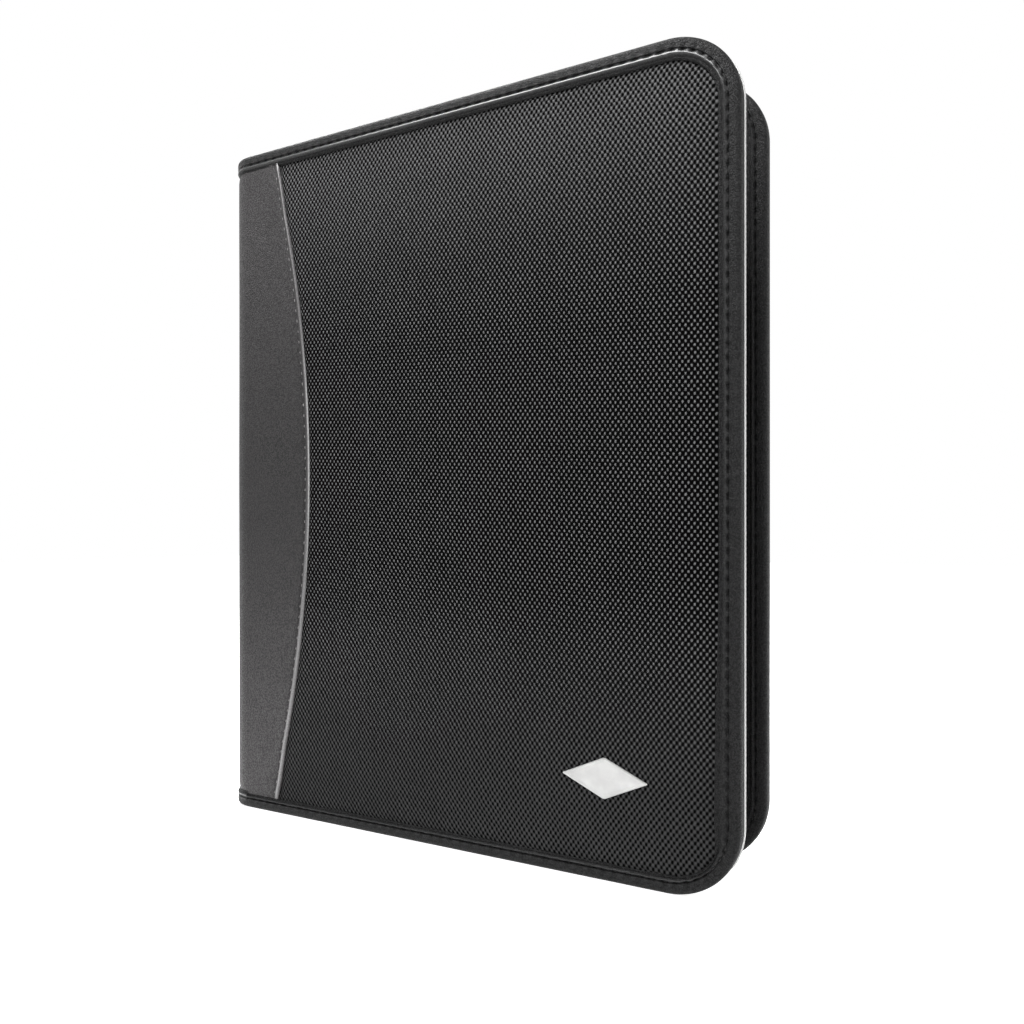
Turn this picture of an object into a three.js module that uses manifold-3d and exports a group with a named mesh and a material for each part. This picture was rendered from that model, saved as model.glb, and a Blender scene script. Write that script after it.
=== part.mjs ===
// A padded tablet organizer: two covers folded round a spine, with a turning tablet
// holder inside the front cover and a writing pad, card pockets and a pen loop inside
// the rear cover. Millimetres, +Z up. It stands on its lower edge, front cover towards
// -Y, spine towards -X. The origin lies on the floor, in the middle of the closed body.
import * as THREE from 'three';
import { mergeVertices } from 'three/addons/utils/BufferGeometryUtils.js';
import Module from 'manifold-3d';

// Closed body
const coverHeight = 275;
const coverWidth = 221;
const closedThickness = 40;
const coverThickness = 6;
const coverCornerRadius = 24;
const foldRadius = 12;

// Layers of a cover, from the outside in
const wrapThickness = 0.6;
const fabricThickness = 0.5;
const foamThickness = 0.9;
const boardThickness = 1.6;
const liningThickness = 0.8;

// Edge binding
const bindingWidth = 6.6;
const bindingRollWidth = 3.4;
const bindingFlat = 1.6;
const bindingSlotDepth = 4;
const bindingBeadRound = 0.4;
const stitchGrooveWidth = 1.3;
const stitchGrooveDepth = 0.55;

// Light welt in the back edge of the front cover's binding
const weltThickness = 0.9;
const weltDepth = 1.4;
const weltReach = 0.4;
const weltSeat = 1.5;
const weltRound = 0.3;
const weltCornerAngle = 50;

// Grey spine wrap, measured from the spine's outer face
const wrapEndWidth = 28;
const wrapMiddleWidth = 46.4;

// Bare diamond plate on the front cover
const plateWidth = 31.2;
const plateHeight = 14;
const plateThickness = 0.9;
const plateFromForeEdge = 45.8;
const plateFromBottom = 34.3;
const plateBevel = 0.3;

// Tablet holder
const holderFromSpine = 115;
const mountPlateSize = 104;
const mountPlateThickness = 1.4;
const mountPlateRadius = 10;
const rivetInset = 7;
const rivetShankRadius = 1.5;
const rivetHeadRadius = 3.4;
const rivetHeadHeight = 1.2;
const ringOuterRadius = 48;
const ringLipRadius = 38;
const ringLipThickness = 1;
const rotorFlangeRadius = 42;
const rotorFlangeThickness = 1.2;
const rotorRise = 0.3;
const ringChamfer = 0.6;
const ringScrewCircleRadius = 45.2;
const housingWidth = 64;
const housingLength = 124;
const housingCornerRadius = 8;
const housingFloor = 1.2;
const housingEndWall = 2.5;
const lidThickness = 1.4;
const holderScrewX = 25.5;
const holderScrewZ = 24;
const screwShankRadius = 1.2;
const screwHeadRadius = 2.3;
const screwHeadHeight = 0.9;
const screwTipChamfer = 0.3;

// Rack and pinion
const gearModule = 1.5;
const pinionTeeth = 12;
const pressureAngle = 25;
const gearBacklash = 0.16;
const gearThickness = 2.6;
const rackBackWidth = 6.5;
const rackEndMargin = 1.5;
const pinionArborRadius = 3;
const pinionPinRadius = 2.2;

// Spiral spring under the pinion
const springBarrelRadius = 13.5;
const springBarrelDepth = 2;
const springBandThickness = 0.3;
const springBandHeight = 1.2;
const springTurns = 5;

// Jaws
const jawWidth = 132;
const jawBarLength = 15.4;
const jawBarThickness = 5.3;
const jawBarRadius = 3;
const hookRise = 1;
const clawWidth = 16;
const clawWall = 4;
const clawDepth = 8.2;
const clawLipThickness = 1.6;
const clawLipReach = 8;
const clawSideInset = 1;
const clawRound = 1.2;
const clawLipChamfer = 0.5;
const gripThickness = 1;
const gripInset = 2;
const gripRibs = 5;
const gripGrooveDepth = 0.35;

// Writing pad, about 5 by 8 inches
const padHeight = 203;
const padSheetsThickness = 4;
const padBackThickness = 1;
const padTapeThickness = 0.3;
const padTapeHeight = 12;
const padFromForeEdge = 14;
const pocketGap = 9.4;

// Pockets inside the rear cover
const pocketSheet = 0.8;
const pocketSeam = 0.8;
const documentPocketHeight = 118;
const thumbNotchWidth = 34;
const thumbNotchDepth = 9;
const pocketFromBinding = 7;
const cardPocketSheet = 0.7;
const cardPocketGap = 0.4;
const cardPocketCount = 3;
const cardPocketWidth = 58;
const cardPocketHeight = 58;
const cardPocketStep = 15;
const cardPocketFromBottom = 30;

// Pen loop
const penLoopInnerRadius = 5.6;
const penLoopWall = 0.8;
const penLoopHeight = 24;
const penLoopFootWidth = 22;
const penLoopFromSpine = 27;
const penLoopFromTop = 37;
const penLoopSteps = 12;

// Clearances
const fit = 0.3;
const running = 0.2;

const cornerSteps = 8;
const foldSteps = 8;
const roundSteps = 40;

// Places that follow from the sizes above
const spineX = -(coverWidth + weltReach) / 2;
const foreEdgeX = spineX + coverWidth;
const foldX = spineX + foldRadius;
const coverMiddle = closedThickness / 2 - coverThickness / 2;
const foldCentreY = closedThickness / 2 - foldRadius;
const layers = fabricThickness + foamThickness + boardThickness + liningThickness;
const layerTop = layers / 2;
const halfCover = coverThickness / 2;
const slotInset = bindingWidth - bindingSlotDepth;
const layerInset = slotInset + fit;
const fieldInset = bindingWidth + fit;

// Height of each layer's two faces above a cover's middle plane
const levels = {
  wrap: [layerTop, layerTop + wrapThickness],
  fabric: [layerTop - fabricThickness, layerTop],
  foam: [layerTop - fabricThickness - foamThickness, layerTop - fabricThickness],
  board: [liningThickness - layerTop, liningThickness - layerTop + boardThickness],
  lining: [-layerTop, liningThickness - layerTop],
};

const holderX = spineX + holderFromSpine;
const holderZ = coverHeight / 2;
const rivetOffset = mountPlateSize / 2 - rivetInset;
const frontInside = -(coverMiddle - layerTop);
const rearInside = coverMiddle - layerTop;
const mountPlateTop = frontInside + mountPlateThickness;
const rotorBottom = mountPlateTop + fit;
const rotorFlangeTop = rotorBottom + rotorFlangeThickness;
const ringTop = rotorFlangeTop + fit + ringLipThickness;
const rotorTop = ringTop + rotorRise;
const rotorBossRadius = ringLipRadius - fit;
const channelBottom = rotorTop + housingFloor;
const gearBottom = channelBottom + running;
const gearTop = gearBottom + gearThickness;
const channelTop = gearTop + running;
const lidTop = channelTop + lidThickness;
const pitchRadius = gearModule * pinionTeeth / 2;
const toothHeight = 0.95 * gearModule;
const toothRoot = 1.2 * gearModule;
const rackBackX = pitchRadius + toothRoot + rackBackWidth;
const jawBarInnerEdge = housingLength / 2 + 2 * fit;
const jawOuterEdge = jawBarInnerEdge + jawBarLength;
const gripFace = jawOuterEdge - clawWall - gripThickness;
const rackReach = housingLength / 2 - housingEndWall - fit;
const jawTravel = rackReach - Math.PI * gearModule - rackEndMargin;
const cardPocketLeft = foldX + 2 * fit;
const cardPocketRight = cardPocketLeft + cardPocketWidth;
const padRight = foreEdgeX - padFromForeEdge;
const padLeft = cardPocketRight + pocketGap;
const pocketBottom = bindingWidth + pocketFromBinding;
const padBottom = pocketBottom + pocketSeam + fit;

const wasm = await Module();
wasm.setup();

/** Turn every triangle round when the closed surface has its faces pointing inwards. */
function faceOutwards(geometry) {
  const index = geometry.index.array;
  const p = geometry.attributes.position;
  const a = new THREE.Vector3();
  const b = new THREE.Vector3();
  const c = new THREE.Vector3();
  let volume = 0;
  for (let i = 0; i < index.length; i += 3) {
    a.fromBufferAttribute(p, index[i]);
    b.fromBufferAttribute(p, index[i + 1]);
    c.fromBufferAttribute(p, index[i + 2]);
    volume += a.dot(b.cross(c));
  }
  if (volume < 0) {
    for (let i = 0; i < index.length; i += 3) {
      [index[i + 1], index[i + 2]] = [index[i + 2], index[i + 1]];
    }
  }
  return geometry;
}

/** The bare closed surface of a geometry, its shared corners joined. */
function closedSurface(geometry) {
  const bare = geometry.clone();
  bare.deleteAttribute('normal');
  bare.deleteAttribute('uv');
  return faceOutwards(mergeVertices(bare, 1e-4));
}

function toSolid(geometry) {
  const surface = closedSurface(geometry);
  return new wasm.Manifold(new wasm.Mesh({
    numProp: 3,
    vertProperties: new Float32Array(surface.attributes.position.array),
    triVerts: new Uint32Array(surface.index.array),
  }));
}

function toGeometry(solid) {
  const mesh = solid.getMesh();
  const geometry = new THREE.BufferGeometry();
  geometry.setAttribute('position', new THREE.BufferAttribute(mesh.vertProperties, 3));
  geometry.setIndex(new THREE.BufferAttribute(mesh.triVerts, 1));
  return geometry;
}

/** Join the geometries in `parts`, then cut the ones in `cutters` away. */
function carve(parts, cutters = []) {
  let solid = toSolid(parts[0]);
  for (const part of parts.slice(1)) {
    solid = solid.add(toSolid(part));
  }
  for (const cutter of cutters) {
    solid = solid.subtract(toSolid(cutter));
  }
  return toGeometry(solid);
}

/** A sheet with its outline in X and Z, from y = low to y = high. */
function sheet(shape, low, high, curveSegments = cornerSteps) {
  const geometry = new THREE.ExtrudeGeometry(shape, {
    depth: 1, bevelEnabled: false, curveSegments,
  });
  const p = geometry.attributes.position;
  for (let i = 0; i < p.count; i += 1) {
    p.setXYZ(i, p.getX(i), p.getZ(i) < 0.5 ? high : low, p.getY(i));
  }
  return closedSurface(geometry);
}

/** A bar with its outline in X and Y, from z = low to z = high. */
function upright(shape, low, high, curveSegments = cornerSteps) {
  const geometry = new THREE.ExtrudeGeometry(shape, {
    depth: 1, bevelEnabled: false, curveSegments,
  });
  const p = geometry.attributes.position;
  for (let i = 0; i < p.count; i += 1) {
    p.setZ(i, p.getZ(i) < 0.5 ? low : high);
  }
  return closedSurface(geometry);
}

/** A bar with its outline in Z and Y, from x = low to x = high. */
function crossways(shape, low, high) {
  const geometry = new THREE.ExtrudeGeometry(shape, { depth: 1, bevelEnabled: false });
  const p = geometry.attributes.position;
  for (let i = 0; i < p.count; i += 1) {
    p.setXYZ(i, p.getZ(i) < 0.5 ? low : high, p.getY(i), p.getX(i));
  }
  return closedSurface(geometry);
}

/** A turned piece: [radius, y] corners spun about an axis along Y at (x, z). */
function turned(profile, x, z, steps = roundSteps) {
  const points = profile.map(([r, y]) => new THREE.Vector2(r, y));
  const geometry = new THREE.LatheGeometry(points, steps);
  geometry.translate(x, 0, z);
  return closedSurface(geometry);
}

/** A plain pin along Y. */
function pin(radius, low, high, x, z, steps = 20) {
  return turned([[0, low], [radius, low], [radius, high], [0, high]], x, z, steps);
}

/**
 * A strip swept along stations. Each station places a section corner [a, b] at
 * origin + a * across + b * up. The strip is closed by its two end faces.
 */
function swept(stations, section) {
  const positions = [];
  for (const { origin, across, up } of stations) {
    for (const [a, b] of section) {
      positions.push(
        origin.x + a * across.x + b * up.x,
        origin.y + a * across.y + b * up.y,
        origin.z + a * across.z + b * up.z,
      );
    }
  }
  const n = section.length;
  const index = [];
  for (let s = 0; s + 1 < stations.length; s += 1) {
    for (let i = 0; i < n; i += 1) {
      const j = (i + 1) % n;
      index.push(s * n + i, s * n + j, (s + 1) * n + i);
      index.push(s * n + j, (s + 1) * n + j, (s + 1) * n + i);
    }
  }
  const outline = section.map(([a, b]) => new THREE.Vector2(a, b));
  const cap = THREE.ShapeUtils.triangulateShape(outline, []);
  const clockwise = THREE.ShapeUtils.isClockWise(outline);
  const last = (stations.length - 1) * n;
  for (const [i, j, k] of cap) {
    if (clockwise) {
      index.push(i, j, k, last + i, last + k, last + j);
    } else {
      index.push(i, k, j, last + i, last + j, last + k);
    }
  }
  const geometry = new THREE.BufferGeometry();
  geometry.setAttribute('position', new THREE.Float32BufferAttribute(positions, 3));
  geometry.setIndex(index);
  return faceOutwards(geometry);
}

/** Rectangle in a sheet's plane with all four corners rounded. */
function roundedRectangle(left, right, bottom, top, radius) {
  const shape = new THREE.Shape();
  shape.moveTo(left + radius, bottom);
  shape.lineTo(right - radius, bottom);
  shape.absarc(right - radius, bottom + radius, radius, -Math.PI / 2, 0, false);
  shape.lineTo(right, top - radius);
  shape.absarc(right - radius, top - radius, radius, 0, Math.PI / 2, false);
  shape.lineTo(left + radius, top);
  shape.absarc(left + radius, top - radius, radius, Math.PI / 2, Math.PI, false);
  shape.lineTo(left, bottom + radius);
  shape.absarc(left + radius, bottom + radius, radius, Math.PI, 1.5 * Math.PI, false);
  return shape;
}

function polygon(corners) {
  return new THREE.Shape(corners.map(([a, b]) => new THREE.Vector2(a, b)));
}

function roundHole(shape, x, z, radius) {
  const hole = new THREE.Path();
  hole.absarc(x, z, radius, 0, 2 * Math.PI, true);
  shape.holes.push(hole);
}

/** A cover's outline drawn in by `inset`: square at the fold, round at the fore-edge. */
function coverOutline(inset) {
  const radius = coverCornerRadius - inset;
  const right = foreEdgeX - inset;
  const top = coverHeight - inset;
  const shape = new THREE.Shape();
  shape.moveTo(foldX, inset);
  shape.lineTo(right - radius, inset);
  shape.absarc(right - radius, inset + radius, radius, -Math.PI / 2, 0, false);
  shape.lineTo(right, top - radius);
  shape.absarc(right - radius, top - radius, radius, 0, Math.PI / 2, false);
  shape.lineTo(foldX, top);
  return shape;
}

/** One layer of a cover. side is -1 for the front cover and 1 for the rear one. */
function coverLayer(side, shape, [low, high]) {
  const faces = [side * (coverMiddle + low), side * (coverMiddle + high)];
  return sheet(shape, Math.min(...faces), Math.max(...faces));
}

/** Corners of the binding's section: [distance in from the edge, height above middle]. */
function bindingSection() {
  const flat = bindingFlat / 2;
  const rollSteps = 6;
  const roll = (t) => [
    bindingRollWidth * (1 - Math.sin(t)),
    flat + (halfCover - flat) * Math.cos(t),
  ];
  const grooveMiddle = bindingRollWidth + stitchGrooveWidth / 2;
  const grooveEnd = bindingRollWidth + stitchGrooveWidth;
  const upper = [
    [bindingWidth, layerTop],
    [bindingWidth, halfCover - bindingBeadRound],
    [bindingWidth - bindingBeadRound, halfCover],
    [grooveEnd, halfCover],
    [grooveMiddle, halfCover - stitchGrooveDepth],
  ];
  const weltAngle = (height) => Math.acos((height - flat) / (halfCover - flat));
  const seatTop = weltAngle(weltSeat);
  const seatBottom = weltAngle(weltSeat + weltThickness);
  const section = [...upper];
  for (let i = 0; i <= rollSteps; i += 1) {
    section.push(roll((i / rollSteps) * Math.PI / 2));
  }
  section.push([0, -flat]);
  const backTop = roll(seatTop);
  const backBottom = roll(seatBottom);
  section.push([backTop[0], -weltSeat]);
  section.push([weltDepth + fit, -weltSeat]);
  section.push([weltDepth + fit, -weltSeat - weltThickness]);
  section.push([backBottom[0], -weltSeat - weltThickness]);
  for (let i = 1; i <= 3; i += 1) {
    const [inset, height] = roll(seatBottom * (1 - i / 3));
    section.push([inset, -height]);
  }
  for (const [inset, height] of [...upper].reverse()) {
    section.push([inset, -height]);
  }
  section.push([slotInset, -layerTop], [slotInset, layerTop]);
  return section;
}

/** Stations along a cover's edge, between two angles of the outline's outward normal. */
function edgeStations(side, fromAngle, toAngle) {
  const r = coverCornerRadius;
  const up = new THREE.Vector3(0, side, 0);
  const stations = [];
  const add = (x, z, angle) => {
    const across = new THREE.Vector3(-Math.cos(angle), 0, -Math.sin(angle));
    stations.push({ origin: new THREE.Vector3(x, side * coverMiddle, z), across, up });
  };
  const quarter = Math.PI / 2;
  if (fromAngle === quarter) {
    add(foldX, coverHeight, quarter);
  }
  for (let i = 0; i <= cornerSteps; i += 1) {
    const a = fromAngle * (1 - i / cornerSteps);
    const x = foreEdgeX - r + r * Math.cos(a);
    add(x, coverHeight - r + r * Math.sin(a), a);
  }
  for (let i = 0; i <= cornerSteps; i += 1) {
    const a = toAngle * (i / cornerSteps);
    add(foreEdgeX - r + r * Math.cos(a), r + r * Math.sin(a), a);
  }
  if (toAngle === -quarter) {
    add(foldX, 0, -quarter);
  }
  return stations;
}

/** Stations round the spine, from the front fold to the rear fold, at height z. */
function spineStations(z, upwards) {
  const stations = [];
  const across = new THREE.Vector3(0, 0, upwards);
  const middleRadius = foldRadius - halfCover;
  const add = (centreY, angle) => {
    const up = new THREE.Vector3(Math.cos(angle), Math.sin(angle), 0);
    const origin = new THREE.Vector3(foldX, centreY, z).addScaledVector(up, middleRadius);
    stations.push({ origin, across, up });
  };
  for (let i = 0; i <= foldSteps; i += 1) {
    add(-foldCentreY, -Math.PI / 2 - (i / foldSteps) * Math.PI / 2);
  }
  for (let i = 0; i <= foldSteps; i += 1) {
    add(foldCentreY, Math.PI - (i / foldSteps) * Math.PI / 2);
  }
  return stations;
}

/** A flexible layer that runs round the spine and both folds. */
function spineLayer([low, high], inset) {
  return swept(spineStations(inset, 1), [
    [0, low], [coverHeight - 2 * inset, low], [coverHeight - 2 * inset, high], [0, high],
  ]);
}

/** The grey wrap's edge: a round bow between its two narrow ends. */
function wrapOutline() {
  const endX = spineX + wrapEndWidth;
  const bow = wrapMiddleWidth - wrapEndWidth;
  const halfHeight = coverHeight / 2 - fieldInset;
  const radius = (halfHeight ** 2 + bow ** 2) / (2 * bow);
  const reach = Math.asin(halfHeight / radius);
  const centreX = endX + bow - radius;
  const shape = new THREE.Shape();
  shape.moveTo(foldX, fieldInset);
  shape.lineTo(endX, fieldInset);
  shape.absarc(centreX, coverHeight / 2, radius, -reach, reach, false);
  shape.lineTo(foldX, coverHeight - fieldInset);
  return shape;
}

/** A pocket: a sheet held off what lies behind it by a seam on three sides. */
function pocket({ left, right, bottom, top, back, gap, thickness, notch = false }) {
  const face = new THREE.Shape();
  face.moveTo(left, bottom);
  face.lineTo(right, bottom);
  face.lineTo(right, top);
  if (notch) {
    const middle = (left + right) / 2;
    const half = thumbNotchWidth / 2;
    face.lineTo(middle + half, top);
    face.quadraticCurveTo(middle + half / 2, top, middle + half / 2, top - thumbNotchDepth / 2);
    face.quadraticCurveTo(middle, top - 1.5 * thumbNotchDepth, middle - half / 2,
      top - thumbNotchDepth / 2);
    face.quadraticCurveTo(middle - half / 2, top, middle - half, top);
  }
  face.lineTo(left, top);
  const s = pocketSeam;
  const seam = polygon([
    [left, bottom], [right, bottom], [right, top], [right - s, top], [right - s, bottom + s],
    [left + s, bottom + s], [left + s, top], [left, top],
  ]);
  const faceBack = back - gap;
  return carve([
    sheet(face, faceBack - thickness, faceBack),
    sheet(seam, faceBack - thickness / 2, back),
  ]);
}

/** Half the angle that a pinion tooth takes up at radius r. */
function toothHalfAngle(r) {
  const alpha = THREE.MathUtils.degToRad(pressureAngle);
  const involute = (a) => Math.tan(a) - a;
  const base = pitchRadius * Math.cos(alpha);
  const atPitch = Math.PI / (2 * pinionTeeth) - gearBacklash / (4 * pitchRadius);
  const here = Math.acos(Math.min(1, base / r));
  return atPitch + involute(alpha) - involute(here);
}

/** Pinion outline with involute flanks; a tooth points along +X. */
function pinionOutline() {
  const flankSteps = 5;
  const tip = pitchRadius + toothHeight;
  const root = pitchRadius - toothRoot;
  const corners = [];
  for (let tooth = 0; tooth < pinionTeeth; tooth += 1) {
    const middle = (tooth / pinionTeeth) * 2 * Math.PI;
    const flank = [];
    for (let i = 0; i <= flankSteps; i += 1) {
      const r = root + (tip - root) * (i / flankSteps);
      flank.push([r, toothHalfAngle(r)]);
    }
    const rising = flank.map(([r, a]) => [r, middle - a]);
    const falling = [...flank].reverse().map(([r, a]) => [r, middle + a]);
    for (const [r, a] of [...rising, ...falling]) {
      corners.push([holderX + r * Math.cos(a), holderZ + r * Math.sin(a)]);
    }
  }
  return polygon(corners);
}

/** Rack outline of the jaw that opens towards +Z, its teeth facing the pinion. */
function rackOutline() {
  const pitch = Math.PI * gearModule;
  const slope = Math.tan(THREE.MathUtils.degToRad(pressureAngle));
  const half = pitch / 4 - gearBacklash / 4;
  const tipX = pitchRadius - toothHeight;
  const rootX = pitchRadius + toothRoot;
  const tipHalf = half - toothHeight * slope;
  const rootHalf = half + toothRoot * slope;
  const lowest = -rackReach;
  const highest = 2 * pitch - rackEndMargin / 3;
  const corners = [[rackBackX, lowest], [rackBackX, jawBarInnerEdge + fit]];
  corners.push([rootX, jawBarInnerEdge + fit]);
  const teeth = [];
  for (let z = -0.5 * pitch - pitch * Math.ceil(rackReach / pitch); z < highest; z += pitch) {
    if (z - rootHalf > lowest && z + rootHalf < highest) {
      teeth.push(z);
    }
  }
  for (const z of teeth.reverse()) {
    corners.push([rootX, z + rootHalf], [tipX, z + tipHalf]);
    corners.push([tipX, z - tipHalf], [rootX, z - rootHalf]);
  }
  corners.push([rootX, lowest]);
  return corners;
}

/** One jaw: rack, cross bar and two claws. turn is 1 for the upper, -1 for the lower. */
function jaw(turn) {
  const place = ([x, z]) => [holderX + turn * x, holderZ + turn * z];
  const rack = sheet(polygon(rackOutline().map(place)), gearBottom, gearTop);
  const barTop = lidTop;
  const barBottom = lidTop - jawBarThickness;
  const near = holderZ + turn * jawBarInnerEdge;
  const far = holderZ + turn * jawOuterEdge;
  const bar = sheet(roundedRectangle(
    holderX - jawWidth / 2, holderX + jawWidth / 2,
    Math.min(near, far), Math.max(near, far), jawBarRadius,
  ), barBottom, barTop);
  const lipBottom = barTop + clawDepth;
  const lipTop = lipBottom + clawLipThickness;
  const hookBottom = barBottom + hookRise;
  const z = (out) => holderZ + turn * (jawOuterEdge - out);
  const hook = polygon([
    [z(clawWall), hookBottom], [z(0), hookBottom], [z(0), lipTop - clawRound],
    [z(0.3 * clawRound), lipTop - 0.3 * clawRound], [z(clawRound), lipTop],
    [z(clawLipReach - clawLipChamfer), lipTop], [z(clawLipReach), lipTop - clawLipChamfer],
    [z(clawLipReach), lipBottom], [z(clawWall), lipBottom],
  ]);
  const inner = jawWidth / 2 - clawWidth;
  const outer = jawWidth / 2 - clawSideInset;
  const claws = [
    crossways(hook, holderX - outer, holderX - inner),
    crossways(hook, holderX + inner, holderX + outer),
  ];
  return carve([bar, rack, ...claws]);
}

/** Soft pad on the inner wall of a claw. */
function grip(turn, side) {
  const wall = holderZ + turn * (jawOuterEdge - clawWall);
  const face = wall - turn * gripThickness;
  const groove = face + turn * gripGrooveDepth;
  const clawMiddle = jawWidth / 2 - (clawWidth + clawSideInset) / 2;
  const middle = holderX + side * clawMiddle;
  const half = (clawWidth - clawSideInset - gripInset) / 2;
  const step = 2 * half / gripRibs;
  const corners = [[middle - half, wall], [middle + half, wall]];
  for (let i = 0; i < gripRibs; i += 1) {
    const right = middle + half - i * step;
    corners.push([right, face], [right - 0.55 * step, face]);
    corners.push([right - 0.7 * step, groove], [right - 0.85 * step, groove]);
  }
  corners.push([middle - half, face]);
  return sheet(polygon(corners), lidTop + fit, lidTop + clawDepth - fit);
}

/** Countersunk screw along Y with its head's top at y = top. */
function screw(x, z, top, bottom) {
  return turned([
    [0, bottom], [screwShankRadius - screwTipChamfer, bottom],
    [screwShankRadius, bottom + screwTipChamfer],
    [screwShankRadius, top - screwHeadHeight], [screwHeadRadius, top - screwHeadHeight],
    [screwHeadRadius, top], [0, top],
  ], x, z, 16);
}

/** Recess and bore for such a screw. */
function screwHole(x, z, top, bottom) {
  const bore = screwShankRadius + fit;
  const recess = screwHeadRadius + fit;
  return turned([
    [0, bottom], [bore, bottom], [bore, top - screwHeadHeight],
    [recess, top - screwHeadHeight], [recess, top + 1], [0, top + 1],
  ], x, z, 16);
}

const finishes = {
  nylon: ['#141414', 0.8, 0],
  leather: ['#1b1b1c', 0.5, 0],
  grey: ['#5a5859', 0.6, 0],
  welt: ['#c9c9c7', 0.5, 0],
  metal: ['#d9d9d6', 0.3, 1],
  board: ['#8d8478', 0.95, 0],
  foam: ['#3a3a3c', 1, 0],
  lining: ['#1d1d1e', 0.9, 0],
  plastic: ['#202022', 0.45, 0],
  rubber: ['#2a2a2a', 0.9, 0],
  steel: ['#a9abae', 0.35, 1],
  paper: ['#f2f1ec', 0.9, 0],
  card: ['#a79a86', 0.95, 0],
  tape: ['#26262a', 0.7, 0],
  elastic: ['#161617', 0.95, 0],
};

const organizer = new THREE.Group();

function add(name, finish, geometry) {
  const [color, roughness, metalness] = finishes[finish];
  const material = new THREE.MeshStandardMaterial({ color, roughness, metalness });
  const mesh = new THREE.Mesh(geometry, material);
  mesh.name = name;
  organizer.add(mesh);
}

/** The layers, wrap and binding that both covers have. */
function addCover(name, side) {
  const rivetHoles = (shape) => {
    if (side < 0) {
      for (const [x, z] of rivetPlaces()) {
        roundHole(shape, x, z, rivetShankRadius + fit);
      }
    }
    return shape;
  };
  const outline = () => coverOutline(layerInset);
  add(`${name}_board`, 'board', coverLayer(side, rivetHoles(outline()), levels.board));
  add(`${name}_foam`, 'foam', coverLayer(side, outline(), levels.foam));
  add(`${name}_panel`, 'nylon', coverLayer(side, outline(), levels.fabric));
  add(`${name}_lining`, 'lining', coverLayer(side, rivetHoles(outline()), levels.lining));
  add(`${name}_spine_wrap`, 'grey', coverLayer(side, wrapOutline(), levels.wrap));
  const stations = edgeStations(side, Math.PI / 2, -Math.PI / 2);
  add(`${name}_binding`, 'leather', swept(stations, bindingSection()));
}

function rivetPlaces() {
  const places = [];
  for (const dx of [-rivetOffset, rivetOffset]) {
    for (const dz of [-rivetOffset, rivetOffset]) {
      places.push([holderX + dx, holderZ + dz]);
    }
  }
  return places;
}

function addWelt() {
  const angle = THREE.MathUtils.degToRad(weltCornerAngle);
  const low = -weltSeat - weltThickness;
  const section = [
    [weltDepth, -weltSeat], [0, -weltSeat], [-weltReach, -weltSeat - weltRound],
    [-weltReach, low + weltRound], [0, low], [weltDepth, low],
  ];
  add('front_cover_welt', 'welt', swept(edgeStations(-1, angle, -angle), section));
}

function addDiamondPlate() {
  const x = foreEdgeX - plateFromForeEdge;
  const z = plateFromBottom;
  const base = -(coverMiddle + layerTop);
  const rings = [
    [0, base], [0, base - plateThickness + plateBevel], [plateBevel, base - plateThickness],
  ];
  const corners = [];
  for (const [inset, y] of rings) {
    const k = 1 - inset / (plateHeight / 2);
    const halfWidth = k * plateWidth / 2;
    const halfHeight = k * plateHeight / 2;
    corners.push([x - halfWidth, y, z], [x, y, z - halfHeight]);
    corners.push([x + halfWidth, y, z], [x, y, z + halfHeight]);
  }
  const index = [0, 1, 2, 0, 2, 3, 8, 10, 9, 8, 11, 10];
  for (let ring = 0; ring < 2; ring += 1) {
    for (let i = 0; i < 4; i += 1) {
      const a = ring * 4 + i;
      const b = ring * 4 + (i + 1) % 4;
      index.push(a, a + 4, b, b, a + 4, b + 4);
    }
  }
  const geometry = new THREE.BufferGeometry();
  geometry.setAttribute('position', new THREE.Float32BufferAttribute(corners.flat(), 3));
  geometry.setIndex(index);
  add('diamond_plate', 'metal', faceOutwards(geometry));
}

function addSpine() {
  const half = foldCentreY;
  const board = polygon([
    [spineX + halfCover - levels.board[1], -half], [spineX + halfCover - levels.board[0], -half],
    [spineX + halfCover - levels.board[0], half], [spineX + halfCover - levels.board[1], half],
  ]);
  add('spine_board', 'board', upright(board, layerInset, coverHeight - layerInset));
  add('spine_foam', 'foam', spineLayer([levels.foam[0], levels.fabric[1]], layerInset));
  add('spine_wrap', 'grey', spineLayer(levels.wrap, fieldInset));
  add('spine_lining', 'lining', spineLayer(levels.lining, layerInset));
  const section = bindingSection();
  add('spine_binding_bottom', 'leather', swept(spineStations(0, 1), section));
  add('spine_binding_top', 'leather', swept(spineStations(coverHeight, -1), section));
}

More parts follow.
